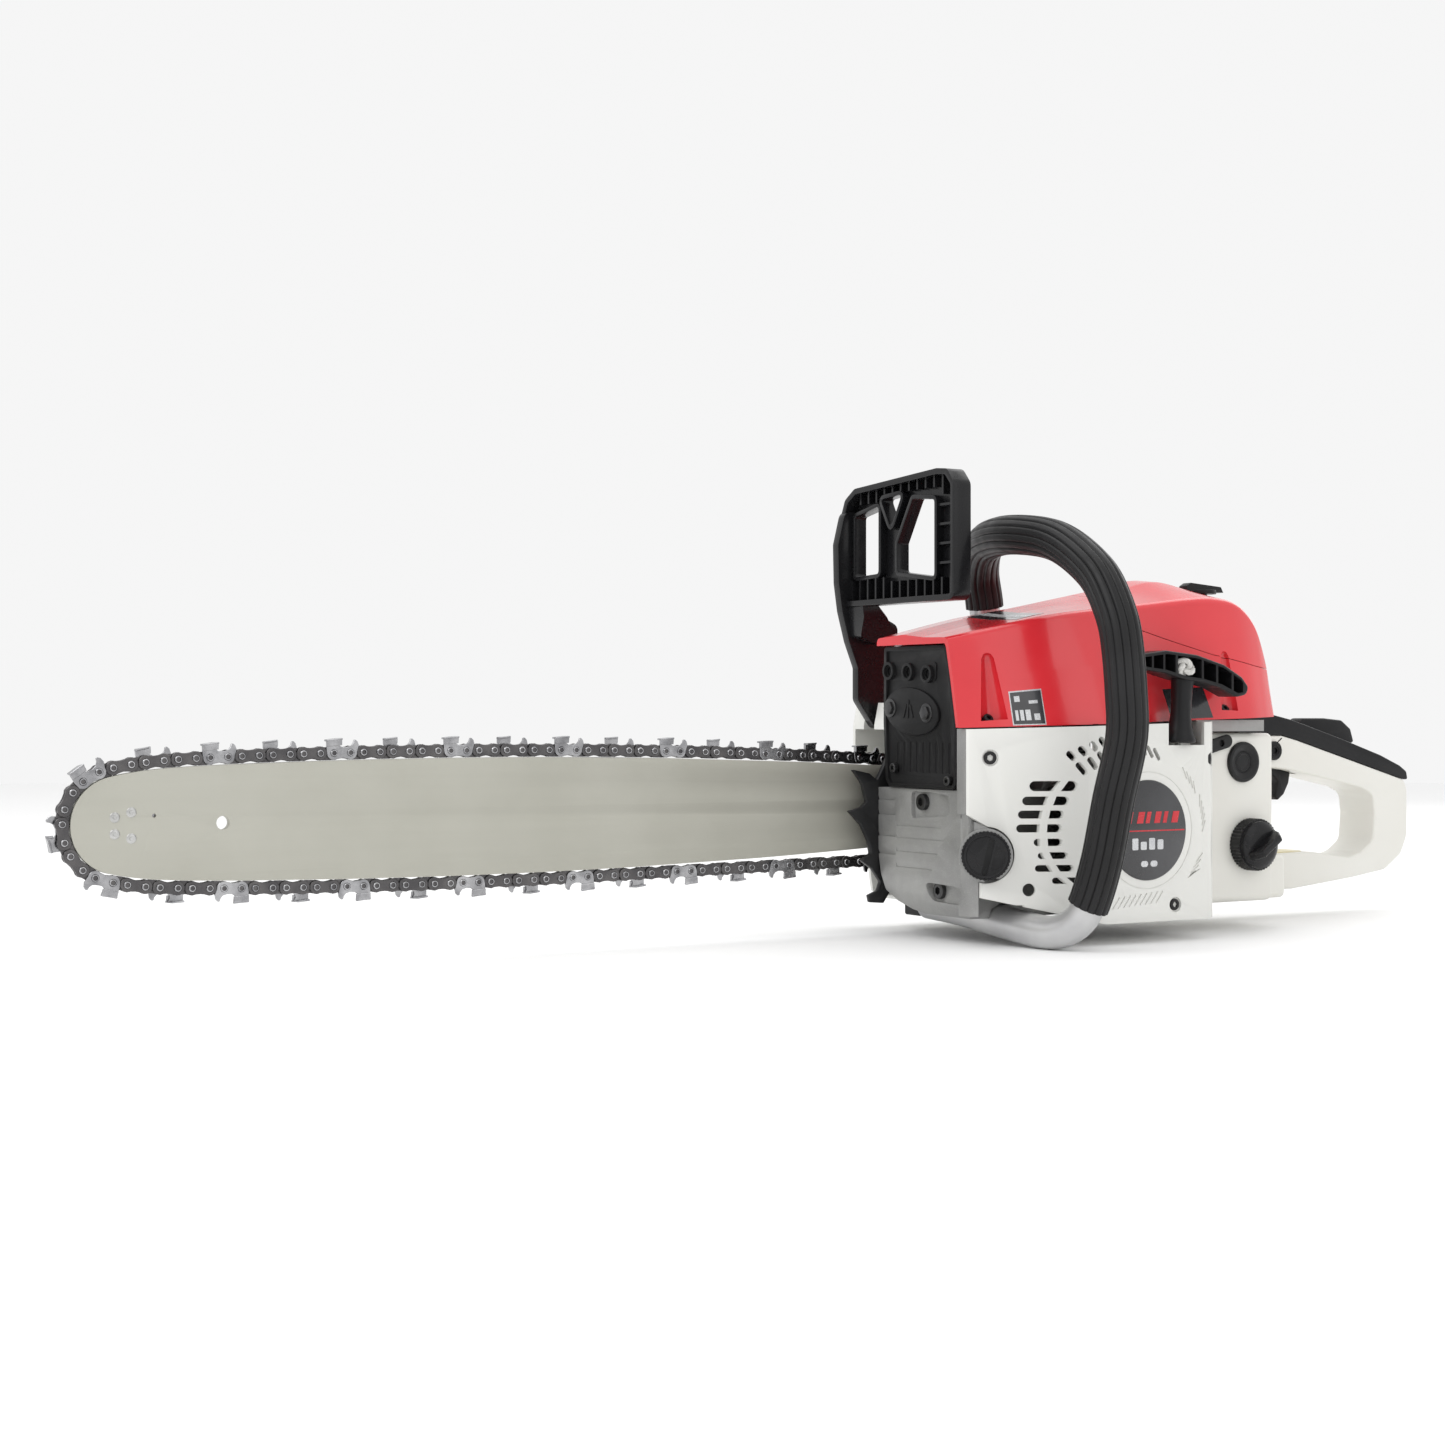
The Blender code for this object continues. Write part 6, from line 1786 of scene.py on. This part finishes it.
# ---------------------------------------------------------------- handles and guard
@dataclass
class HandGuard:
    """Front hand guard: deep rim, ribbed panel, framed windows and one long arm."""

    face: Sequence[Point2] = (
        (-0.0470, 0.1790), (-0.0470, 0.2450), (-0.0400, 0.2530), (-0.0300, 0.2540),
        (0.0520, 0.2490), (0.0620, 0.2430), (0.0660, 0.2340), (0.0660, 0.1790),
    )
    windows: Sequence[Sequence[Point2]] = (
        ((0.0315, 0.1975), (0.0315, 0.2370), (0.0560, 0.2325), (0.0560, 0.1965)),
        ((0.0075, 0.2425), (0.0290, 0.2410), (0.0190, 0.2235)),
        ((-0.0240, 0.1930), (-0.0240, 0.2370), (-0.0030, 0.2390), (0.0122, 0.2140), (0.0122, 0.1975)),
    )
    arm: Sequence[Point2] = (
        (-0.0720, 0.1060), (-0.0830, 0.1060), (-0.0957, 0.1230), (-0.0957, 0.1424),
        (-0.1020, 0.1580), (-0.1070, 0.1760), (-0.1095, 0.1930), (-0.1100, 0.2160),
        (-0.1050, 0.2360), (-0.0920, 0.2360), (-0.0920, 0.1800), (-0.0660, 0.1680),
        (-0.0700, 0.1424), (-0.0740, 0.1280), (-0.0720, 0.1190),
    )
    pivot: Point2 = (-0.0770, 0.1135)

    def build(self) -> None:
        """Make the guard in one skin."""
        edge = filleted(self.face, 0.0060, 5)
        inner = inset(edge, 0.0034)
        rim = Shop.slab("hand_guard_shell", edge, Plane.YZ, -0.1040, -0.0920, [inner])
        Shop.round_edges(rim, 0.0014, 3, 40)
        holes = [filleted(window, 0.0022, 4) for window in self.windows]
        panel = Shop.slab("panel", inset(edge, 0.0010), Plane.YZ, -0.0958, -0.0925, holes)
        sills = []
        for hole in holes:
            sills.append(Shop.slab("sill", inset(hole, -0.0024), Plane.YZ, -0.1008, -0.0930, [hole]))
        for sill in sills:
            Shop.round_edges(sill, 0.0006, 2, 40)
        Shop.fuse(rim, panel, *sills, *self.ribs(), self.side(), self.gusset())
        openings = [Shop.slab("opening", hole, Plane.YZ, -0.1100, -0.0900) for hole in holes]
        Shop.carve(rim, Shop.gather("openings", openings))
        with Shop.editing(rim):
            bpy.ops.mesh.remove_doubles(threshold=4e-6)
        Shop.dress(Shop.smooth(rim, 34), BLACK_GLOSS, Body.GUARD, "black_plastic", "hand_guard")

    def ribs(self) -> list[bpy.types.Object]:
        """Upright ribs above and below the windows, and the two struts beside them."""
        out: list[bpy.types.Object] = []
        for i in range(13):
            y = -0.0400 + 0.0082 * i
            out.append(self.rib(y, 0.1815, 0.1925 if y < 0.02 else 0.1950, -0.1006))
            top = 0.2512 - max(0.0, y) * 0.06
            low = 0.2440 if -0.03 < y < 0.03 else 0.2395
            out.append(self.rib(y, low, top - 0.0005, -0.1000))
        for z in (0.2000, 0.2110, 0.2220, 0.2330):
            out.append(Shop.block("rib", (-0.0995, -0.0440, z), (-0.0950, -0.0262, z + 0.0014)))
        return out

    @staticmethod
    def rib(y: float, low: float, high: float, front: float) -> bpy.types.Object:
        """One upright rib."""
        return Shop.block("rib", (front, y, low), (-0.0950, y + 0.0015, high))

    def side(self) -> bpy.types.Object:
        """The arm down to the brake pivot."""
        outline = filleted(self.arm, 0.0055, 5)
        hole = ring(self.pivot, 0.0033, 24)
        arm = Shop.slab("arm", outline, Plane.XZ, 0.0600, 0.0658, [hole])
        return Shop.round_edges(arm, 0.0012, 3, 40)

    @staticmethod
    def gusset() -> bpy.types.Object:
        """Web that ties the arm to the underside of the panel."""
        web = Shop.slab("gusset", filleted([
            (-0.1035, 0.1800), (-0.0925, 0.1800), (-0.0800, 0.1665), (-0.0860, 0.1560), (-0.1005, 0.1610),
        ], 0.0025, 3), Plane.XZ, 0.0440, 0.0610)
        ramp = Shop.slab("ramp", [(0.0300, 0.1500), (0.0560, 0.1500), (0.0400, 0.1800), (0.0300, 0.1800)],
                         Plane.YZ, -0.1200, -0.0700)
        Shop.carve(web, ramp)
        return web


@dataclass
class FrontHandle:
    """Bent alloy tube with a fluted rubber sleeve."""

    tube: float = 0.0093
    grip: float = 0.0115
    flutes: int = 15
    first: int = 2
    last: int = 17
    fine: int = 7
    route: Sequence[Point3] = (
        (-0.0140, 0.0410, 0.1160), (-0.0140, 0.0410, 0.1500), (-0.0150, 0.0410, 0.1800),
        (-0.0230, 0.0350, 0.2010), (-0.0360, 0.0140, 0.2150), (-0.0450, -0.0100, 0.2185),
        (-0.0500, -0.0360, 0.2180), (-0.0500, -0.0620, 0.2145), (-0.0500, -0.0800, 0.2085),
        (-0.0500, -0.0980, 0.1980), (-0.0500, -0.1105, 0.1870), (-0.0500, -0.1210, 0.1700),
        (-0.0500, -0.1260, 0.1550), (-0.0500, -0.1295, 0.1285), (-0.0500, -0.1300, 0.1020),
        (-0.0550, -0.1250, 0.0680), (-0.0580, -0.1190, 0.0350), (-0.0610, -0.1110, 0.0100),
        (-0.0640, -0.1030, -0.0005), (-0.0680, -0.0910, -0.0055), (-0.0710, -0.0750, -0.0050),
        (-0.0740, -0.0500, -0.0020), (-0.0770, -0.0200, 0.0020), (-0.0780, 0.0120, 0.0040),
    )

    def path(self, low: float, high: float) -> list[Vector]:
        """Points of the route between two of its corners."""
        corners = [Vector(corner) for corner in self.route]
        count = int((high - low) * self.fine)
        return [catmull(corners, low + (high - low) * i / count) for i in range(count + 1)]

    def build(self) -> None:
        """Make the tube and its sleeve."""
        whole = self.path(0, len(self.route) - 1)
        tube = Shop.sweep("front_handle_bar", whole, ring((0, 0), self.tube, 36))
        Shop.dress(Shop.smooth(tube, 40), TUBE, Body.FRAME, "silver_tube", "front_handle_tube")
        section: list[Point2] = []
        for i in range(self.flutes * 8):
            angle = 2 * math.pi * i / (self.flutes * 8)
            wave = max(0.0, math.cos(angle * self.flutes)) ** 3
            reach = self.grip - 0.0009 * wave
            section.append((reach * math.cos(angle), reach * math.sin(angle)))
        held = self.path(self.first, self.last)
        sleeve = Shop.sweep("front_handle_sleeve", held, section)
        self.soften_ends(sleeve, held)
        Shop.dress(Shop.smooth(sleeve, 60), RUBBER, Body.FRAME, "black_rubber", "front_handle_grip")

    @staticmethod
    def soften_ends(sleeve: bpy.types.Object, held: Sequence[Vector]) -> None:
        """Round the sleeve's two end rims."""
        caps = [face for face in sleeve.data.polygons if len(face.vertices) > 8]
        for face in caps:
            centre = min((held[0], held[-1]), key=lambda p: (p - face.center).length)
            for index in face.vertices:
                vertex = sleeve.data.vertices[index]
                vertex.co = centre + (vertex.co - centre) * 0.93


@dataclass
class RearHandle:
    """Fuel tank in one moulding with the rear handle, its controls and trim."""

    tank_y: float = -0.0600

    def build(self) -> None:
        """Make the moulding, trim and controls."""
        self.moulding()
        self.trim()
        self.fuel_cap()
        self.controls()

    def moulding(self) -> None:
        """Tank block, heel and handle loop as one skin."""
        tank = Shop.block("tank_and_handle", (0.0583, self.tank_y, 0.0020), (0.1275, 0.0300, 0.1035))
        Shop.round_edges(tank, 0.0042, 4, 30)
        heel = Shop.block("heel", (0.1100, self.tank_y + 0.0012, 0.0030), (0.1385, 0.0288, 0.0290))
        Shop.round_edges(heel, 0.0034, 4, 30)
        outline = filleted([
            (0.1150, 0.0045), (0.1870, 0.0035), (0.2410, 0.0090), (0.2700, 0.0130), (0.2850, 0.0230),
            (0.2905, 0.0350), (0.2905, 0.0650), (0.2880, 0.0713), (0.2270, 0.0880), (0.1910, 0.0980),
            (0.1780, 0.1010), (0.1150, 0.1010),
        ], 0.0080, 6)
        window = filleted([
            (0.1520, 0.0260), (0.2050, 0.0265), (0.2370, 0.0220), (0.2480, 0.0250), (0.2585, 0.0320),
            (0.2600, 0.0500), (0.2585, 0.0624), (0.2480, 0.0669), (0.2200, 0.0723), (0.1860, 0.0790),
            (0.1520, 0.0830),
        ], 0.0080, 6)
        handle = Shop.slab("handle", outline, Plane.XZ, -HANDLE_HALF, HANDLE_HALF, [window])
        Shop.round_edges(handle, 0.0048, 5, 50)
        Shop.fuse(tank, heel, handle)
        upper = Shop.block("upper", (0.0613, self.tank_y + 0.003, 0.0770), (0.1245, 0.0270, 0.1200))
        slot = Shop.block("slot", (0.1680, -0.0058, 0.0600), (0.2010, 0.0058, 0.1100))
        notch = Shop.slab("notch", filleted([
            (0.0560, 0.0995), (0.0770, 0.1010), (0.0790, 0.1080), (0.0560, 0.1080),
        ], 0.002, 3), Plane.XZ, self.tank_y - 0.001, self.tank_y + 0.0022)
        Shop.carve(tank, upper, slot, notch)
        with Shop.editing(tank):
            bpy.ops.mesh.remove_doubles(threshold=4e-6)
        Shop.dress(Shop.smooth(tank, 34), HANDLE_WHITE, Body.FRAME, "white_plastic", "fuel_tank")
        sheet = Shop.slab("tank_level_window", filleted([
            (0.1400, -0.0115), (0.2010, -0.0100), (0.2040, 0.0), (0.2010, 0.0100), (0.1400, 0.0115),
        ], 0.004, 4), Plane.XY, 0.0262, 0.0272)
        Shop.round_edges(sheet, 0.0003, 2, 30)
        Shop.dress(sheet, YELLOWED, Body.FRAME, "white_plastic")

    def trim(self) -> None:
        """Rubber-mount plug, grommet and handle screw cap."""
        face = self.tank_y
        plug = Shop.lathe("mount_plug_rubber", [
            (0.0, 0.0010), (0.0042, 0.0008), (0.0052, 0.0014), (0.0064, 0.0007), (0.0074, 0.0016),
            (0.0104, 0.0024), (0.0118, 0.0020), (0.0122, 0.0010), (0.0122, -0.0001), (0.0, -0.0030),
        ], (0.1010, face - 0.0003, 0.0860), (0, -1, 0), 64)
        Shop.dress(Shop.smooth(plug, 30), RUBBER, Body.FRAME, "black_rubber", "mount_plug")
        turn = math.degrees(math.atan2(0.24, 0.97))
        grommet = Shop.slab("carburetor_screw_grommet", pill((0.0790, 0.0965), 0.0250, 0.0080, turn, 12),
                            Plane.XZ, face - 0.0025, face - 0.0003)
        Shop.round_edges(grommet, 0.0007, 3, 30)
        for reach in (-0.0068, 0.0036):
            x, z = 0.0790 + reach * 0.97, 0.0965 + reach * 0.24
            Shop.carve(grommet, Shop.rod("hole", (x, face - 0.0035, z), (0, 1, 0), 0.0028, 0.0021, 24))
        Shop.dress(Shop.smooth(grommet), RUBBER, Body.FRAME, "black_rubber", "carburetor_grommet")
        cap = Shop.lathe("handle_screw_plug", [
            (0.0, 0.0020), (0.0026, 0.0020), (0.0032, 0.0027), (0.0052, 0.0026), (0.0060, 0.0018),
            (0.0060, 0.0), (0.0, 0.0),
        ], (0.1695, -HANDLE_HALF - 0.0003, 0.0915), (0, -1, 0), 40)
        Shop.carve(cap, Shop.slab("well", ring((0.1695, 0.0915), 0.0021, 6), Plane.XZ, -0.0200, -0.0168))
        Shop.dress(Shop.smooth(cap), BLACK, Body.FRAME, "black_plastic", "handle_screw_cap")

    def fuel_cap(self) -> None:
        """Ridged cap with a tall tapered wing."""
        x, z = 0.1065, 0.0365
        y = self.tank_y
        rim = knurled((x, z), 0.0157, 44, 0.0006)
        disc = Shop.slab("fuel_filler_cap", rim, Plane.XZ, y - 0.0085, y - 0.0003)
        dome = Shop.lathe("dome", [
            (0.0, 0.0125), (0.0096, 0.0125), (0.0120, 0.0118), (0.0140, 0.0102), (0.0148, 0.0080),
            (0.0, 0.0080),
        ], (x, y, z), (0, -1, 0), 64)
        wing = Shop.slab("wing", [
            (-0.0132, 0.0080), (-0.0110, 0.0170), (-0.0080, 0.0205), (0.0080, 0.0205), (0.0110, 0.0170),
            (0.0132, 0.0080),
        ], Plane.XY, -0.0031, 0.0031)
        for vertex in wing.data.vertices:
            if vertex.co.y > 0.012:
                vertex.co.z *= 0.72
        Shop.round_edges(wing, 0.0009, 3, 30)
        wing.data.transform(
            Matrix.Translation((x, y, z)) @ Matrix.Rotation(math.radians(-35), 4, "Y")
            @ Matrix(((1, 0, 0, 0), (0, -1, 0, 0), (0, 0, 1, 0), (0, 0, 0, 1)))
        )
        Shop.outward(wing)
        spigot = Shop.rod("spigot", (x, y - 0.001, z), (0, 1, 0), 0.0090, 0.0107, 32)
        Shop.fuse(disc, dome, wing, spigot)
        Shop.dress(Shop.smooth(disc, 30), BLACK_GLOSS, Body.FUEL_CAP, "black_plastic", "fuel_cap")

    def controls(self) -> None:
        """Grip cover, throttle trigger, lockout, choke knob and stop switch."""
        top = filleted([
            (0.1400, 0.1013), (0.1780, 0.1013), (0.1910, 0.0983), (0.2270, 0.0883), (0.2880, 0.0716),
            (0.2912, 0.0716), (0.2900, 0.0770), (0.2837, 0.0809), (0.2660, 0.0879), (0.2297, 0.0990),
            (0.1874, 0.1109), (0.1702, 0.1143), (0.1400, 0.1143),
        ], 0.0035, 4)
        cover = Shop.slab("rear_grip_cover", top, Plane.XZ, -HANDLE_HALF + 0.0002, HANDLE_HALF - 0.0002)
        Shop.round_edges(cover, 0.0030, 4, 50)
        Shop.carve(cover, Shop.block("way", (0.2000, -0.0062, 0.0600), (0.2630, 0.0062, 0.1300)))
        Shop.dress(Shop.smooth(cover, 34), BLACK, Body.FRAME, "black_plastic", "handle_grip_cover")
        for node, name, body, slot, width, finish in (
            ("throttle_lockout", "throttle_lockout_lever", Body.LOCKOUT, "black_plastic", 0.0014, BLACK),
            ("throttle_trigger", "throttle_trigger_blade", Body.TRIGGER, "black_plastic", 0.0014, BLACK),
            ("choke_knob", "choke_pull_knob", Body.CHOKE, "black_plastic", 0.0010, BLACK),
            ("stop_switch", "stop_switch_slider", Body.SWITCH, "red_plastic", 0.0007, RED),
        ):
            thing = Shop.copy_of(node, name)
            Shop.dress(Shop.round_edges(thing, width, 3, 28), finish, body, slot, node)


@dataclass
class StarterGrip:
    """Crescent pull grip with open pockets, its stem and the rope's knot."""

    middle_y: float = -0.0860
    beam: Sequence[Point2] = (
        (-0.0090, 0.1485), (0.0110, 0.1510), (0.0343, 0.1487), (0.0549, 0.1433), (0.0687, 0.1362),
        (0.0739, 0.1305), (0.0721, 0.1260), (0.0651, 0.1247), (0.0520, 0.1300), (0.0385, 0.1330),
        (0.0250, 0.1345), (0.0100, 0.1380), (-0.0090, 0.1400),
    )
    stem: Sequence[Point2] = (
        (0.0, 0.0), (0.0086, 0.0), (0.0092, 0.0006), (0.0092, 0.0022), (0.0078, 0.0055),
        (0.0067, 0.0095), (0.0060, 0.0150), (0.0058, 0.0230), (0.0061, 0.0300), (0.0070, 0.0385),
        (0.0, 0.0385),
    )
    ribs: Sequence[Point2] = (
        (-0.0085, -0.0005), (0.0009, 0.0080), (0.0094, 0.0172), (0.0190, 0.0370), (0.0386, 0.0480),
        (0.0496, 0.0600), (0.0616, 0.0690),
    )

    def build(self) -> None:
        """Make the grip and the knot."""
        low, high = self.middle_y - 0.0085, self.middle_y + 0.0085
        grip = Shop.slab("starter_pull_grip", filleted(self.beam, 0.0040, 5), Plane.XZ, low, high)
        Shop.round_edges(grip, 0.0014, 3, 45)
        stem = Shop.lathe("stem", self.stem, (0.0278, self.middle_y, 0.0985), (0.06, 0.0, 1.0), 48)
        Shop.fuse(grip, stem)
        hollow = inset(filleted(self.beam, 0.0040, 5), 0.0020)
        for start, stop in self.ribs:
            pocket = Shop.slab("pocket", hollow, Plane.XZ, low - 0.002, high - 0.0040)
            gate = Shop.block("gate", (start, low - 0.004, 0.10), (stop, high, 0.17))
            Shop.boolean(pocket, gate, "INTERSECT")
            Shop.carve(grip, pocket)
        x, y = 0.0290, self.middle_y + 0.0030
        Shop.carve(grip, Shop.rod("rope_way", (x, y, 0.0900), (0, 0, 1), 0.0520, 0.0022, 20))
        with Shop.editing(grip):
            bpy.ops.mesh.remove_doubles(threshold=4e-6)
        Shop.dress(Shop.smooth(grip, 34), BLACK, Body.GRIP, "black_plastic", "starter_grip")
        self.knot()

    def knot(self) -> None:
        """Overhand knot of the starter rope, held in the grip's middle pocket."""
        x, y, z = 0.0262, self.middle_y - 0.0055, 0.1412
        path: list[Vector] = []
        for i in range(73):
            t = 2 * math.pi * i / 72
            wide = 2.0 + 0.9 * math.cos(3 * t)
            path.append(Vector((
                x + 0.00185 * wide * math.cos(2 * t) * 1.10, y + 0.0021 * math.sin(3 * t),
                z + 0.00185 * wide * math.sin(2 * t) * 0.82,
            )))
        path.append(Vector((x + 0.0058, y + 0.0004, z - 0.0030)))
        strand = [(0.00165 + 0.00013 * math.cos(6 * a), a) for a in
                  (2 * math.pi * i / 24 for i in range(24))]
        section = [(r * math.cos(a), r * math.sin(a)) for r, a in strand]
        knot = Shop.sweep("starter_rope_knot", path, section, twist=24.0)
        Shop.dress(Shop.smooth(knot, 60), ROPE, Body.GRIP, "white_rope")


@dataclass
class ClutchSide:
    """Right-hand cover with its nuts, the handle bracket and the guard's pivot."""

    def build(self) -> None:
        """Make the cover and its fasteners."""
        cover = Shop.copy_of("clutch_cover", "clutch_side_cover")
        ribs = [
            Shop.slab("rib", filleted([(x, 0.0140), (x + 0.0030, 0.0140), (x + 0.0030, 0.0340),
                                       (x, 0.0340)], 0.0012, 3), Plane.XZ, 0.0772, 0.0795)
            for x in (-0.0300, -0.0200, -0.0100, 0.0, 0.0100, 0.0200)
        ]
        rim = Shop.slab("rim", ring((0.0, CRANK_Z + 0.012), 0.0300, 64), Plane.XZ, 0.0770, 0.0792,
                        [ring((0.0, CRANK_Z + 0.012), 0.0270, 64)])
        Shop.round_edges(cover, 0.0009, 2, 45)
        Shop.fuse(cover, *ribs, rim)
        Shop.dress(Shop.smooth(cover, 34), WHITE, Body.FRAME, "white_plastic", "clutch_cover")
        pieces: list[bpy.types.Object] = []
        for i, x in enumerate((-0.0620, -0.0460)):
            nut = Shop.slab("nut", ring((x, BAR_Z), 0.0075, 6), Plane.XZ, 0.0795, 0.0855,
                            [ring((x, BAR_Z), 0.0040, 20)])
            Shop.round_edges(nut, 0.0005, 2, 28)
            washer = Shop.lathe("washer", [
                (0.0042, 0.0), (0.0072, 0.0), (0.0072, 0.0012), (0.0042, 0.0012),
            ], (x, 0.0784, BAR_Z), (0, 1, 0), 36)
            pieces.append(Shop.gather("nut", [nut, washer]))
            Shop.dress(Shop.smooth(Shop.named(pieces[-1], f"bar_nut_with_washer_{i + 1}")), DARK_STEEL,
                       Body.FRAME, "dark_steel", f"bar_nut_{i + 1}")
        bracket = Shop.copy_of("handle_bracket", "front_handle_bracket")
        Shop.dress(Shop.round_edges(bracket, 0.0012, 3, 28), CAST, Body.FRAME, "cast_alloy",
                   "handle_bracket")
        pivot = Shop.lathe("guard_pivot_bolt", [
            (0.0, 0.0030), (0.0034, 0.0030), (0.0046, 0.0022), (0.0050, 0.0), (0.0, 0.0),
        ], (-0.0770, 0.0782, 0.1135), (0, 1, 0), 32)
        Shop.carve(pivot, Shop.slab("well", ring((-0.0770, 0.1135), 0.0021, 6), Plane.XZ, 0.0795, 0.0850))
        Shop.dress(Shop.smooth(pivot), CHROME, Body.FRAME, "chrome_steel")


# ---------------------------------------------------------------- studio
@dataclass(frozen=True)
class Studio:
    """Pale floor and backdrop, soft lamps and the camera."""

    floor_z: float = -0.0152
    camera_at: Point3 = (-0.8809, -1.0887, 0.116)
    heading: float = 31.0
    lens: float = 57.59
    shift: float = -0.0073

    def build(self) -> None:
        """Make the floor, the light and the camera."""
        self.backdrop()
        self.world()
        turn = math.radians(self.heading)
        ahead = Vector((math.sin(turn), math.cos(turn), 0.0))
        side = Vector((math.cos(turn), -math.sin(turn), 0.0))
        self.lamp("key_lamp", ahead * -0.9 - side * 1.3 + Vector((0, 0, 1.5)), (1.3, 1.3), 13.0)
        self.lamp("fill_lamp", ahead * -1.3 + side * 1.2 + Vector((0, 0, 0.9)), (1.2, 1.6), 3.0)
        self.lamp("top_lamp", ahead * 0.3 + Vector((0, 0, 1.8)), (1.8, 1.2), 8.0)
        self.lamp("rim_lamp", ahead * 1.2 + side * 1.0 + Vector((0, 0, 1.0)), (0.8, 1.6), 5.0)
        bpy.ops.object.camera_add(
            location=self.camera_at, rotation=(math.radians(90), 0.0, -math.radians(self.heading))
        )
        camera = bpy.context.object
        camera.data.lens = self.lens
        camera.data.sensor_width = 36.0
        camera.data.shift_y = self.shift
        camera.data.clip_start = 0.05
        camera.data.clip_end = 60.0
        bpy.context.scene.camera = camera

    def backdrop(self) -> None:
        """One pale sheet: a flat floor under the object."""
        bpy.ops.mesh.primitive_circle_add(vertices=96, radius=3.2, fill_type="NGON",
                                          location=(-0.15, 0.0, self.floor_z))
        sheet = Shop.named(bpy.context.object, "studio_floor")
        Shop.settle(sheet)
        made = bpy.data.materials.new("pale_floor")
        made.use_nodes = True
        shader = made.node_tree.nodes["Principled BSDF"]
        shader.inputs["Base Color"].default_value = (0.93, 0.93, 0.93, 1.0)
        shader.inputs["Roughness"].default_value = 0.75
        sheet.data.materials.append(made)

    @staticmethod
    def world() -> None:
        """Even white surroundings."""
        world = bpy.data.worlds.new("studio_world")
        world.use_nodes = True
        back = world.node_tree.nodes["Background"]
        back.inputs["Color"].default_value = (1.0, 1.0, 1.0, 1.0)
        back.inputs["Strength"].default_value = 0.92
        bpy.context.scene.world = world
        bpy.context.scene.view_settings.view_transform = "Standard"
        bpy.context.scene.view_settings.look = "None"

    @staticmethod
    def lamp(name: str, place: Vector, size: Point2, power: float) -> None:
        """One soft lamp that faces the object.

        Args:
            name: The lamp's name.
            place: Where it stands, from the object's middle.
            size: Width and height.
            power: Watts.
        """
        target = Vector((-0.12, 0.0, 0.10))
        at = target + place
        aim = (target - at).to_track_quat("-Z", "Y").to_euler()
        bpy.ops.object.light_add(type="AREA", location=at, rotation=aim)
        lamp = bpy.context.object
        lamp.name = name
        lamp.data.shape = "RECTANGLE"
        lamp.data.size, lamp.data.size_y = size
        lamp.data.energy = power


def dress_packed_nodes() -> None:
    """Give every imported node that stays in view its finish."""
    for finish, names in CAD_FINISHES.items():
        for name in names:
            node = frame["nodes"][name]
            node.data.materials.clear()
            node.data.materials.append(finish.material())


def main() -> None:
    """Build every sub-assembly in order."""
    logging.basicConfig(level=logging.INFO, format="%(message)s")
    dress_packed_nodes()
    for maker in SUB_ASSEMBLIES:
        maker().build()
    Studio().build()


SUB_ASSEMBLIES: tuple[type, ...] = (
    CuttingGear, StarterSide, Shrouds, MufflerGuard, OilSide, HandGuard, FrontHandle, RearHandle,
    StarterGrip, ClutchSide,
)

if __name__ == "__main__":
    main()
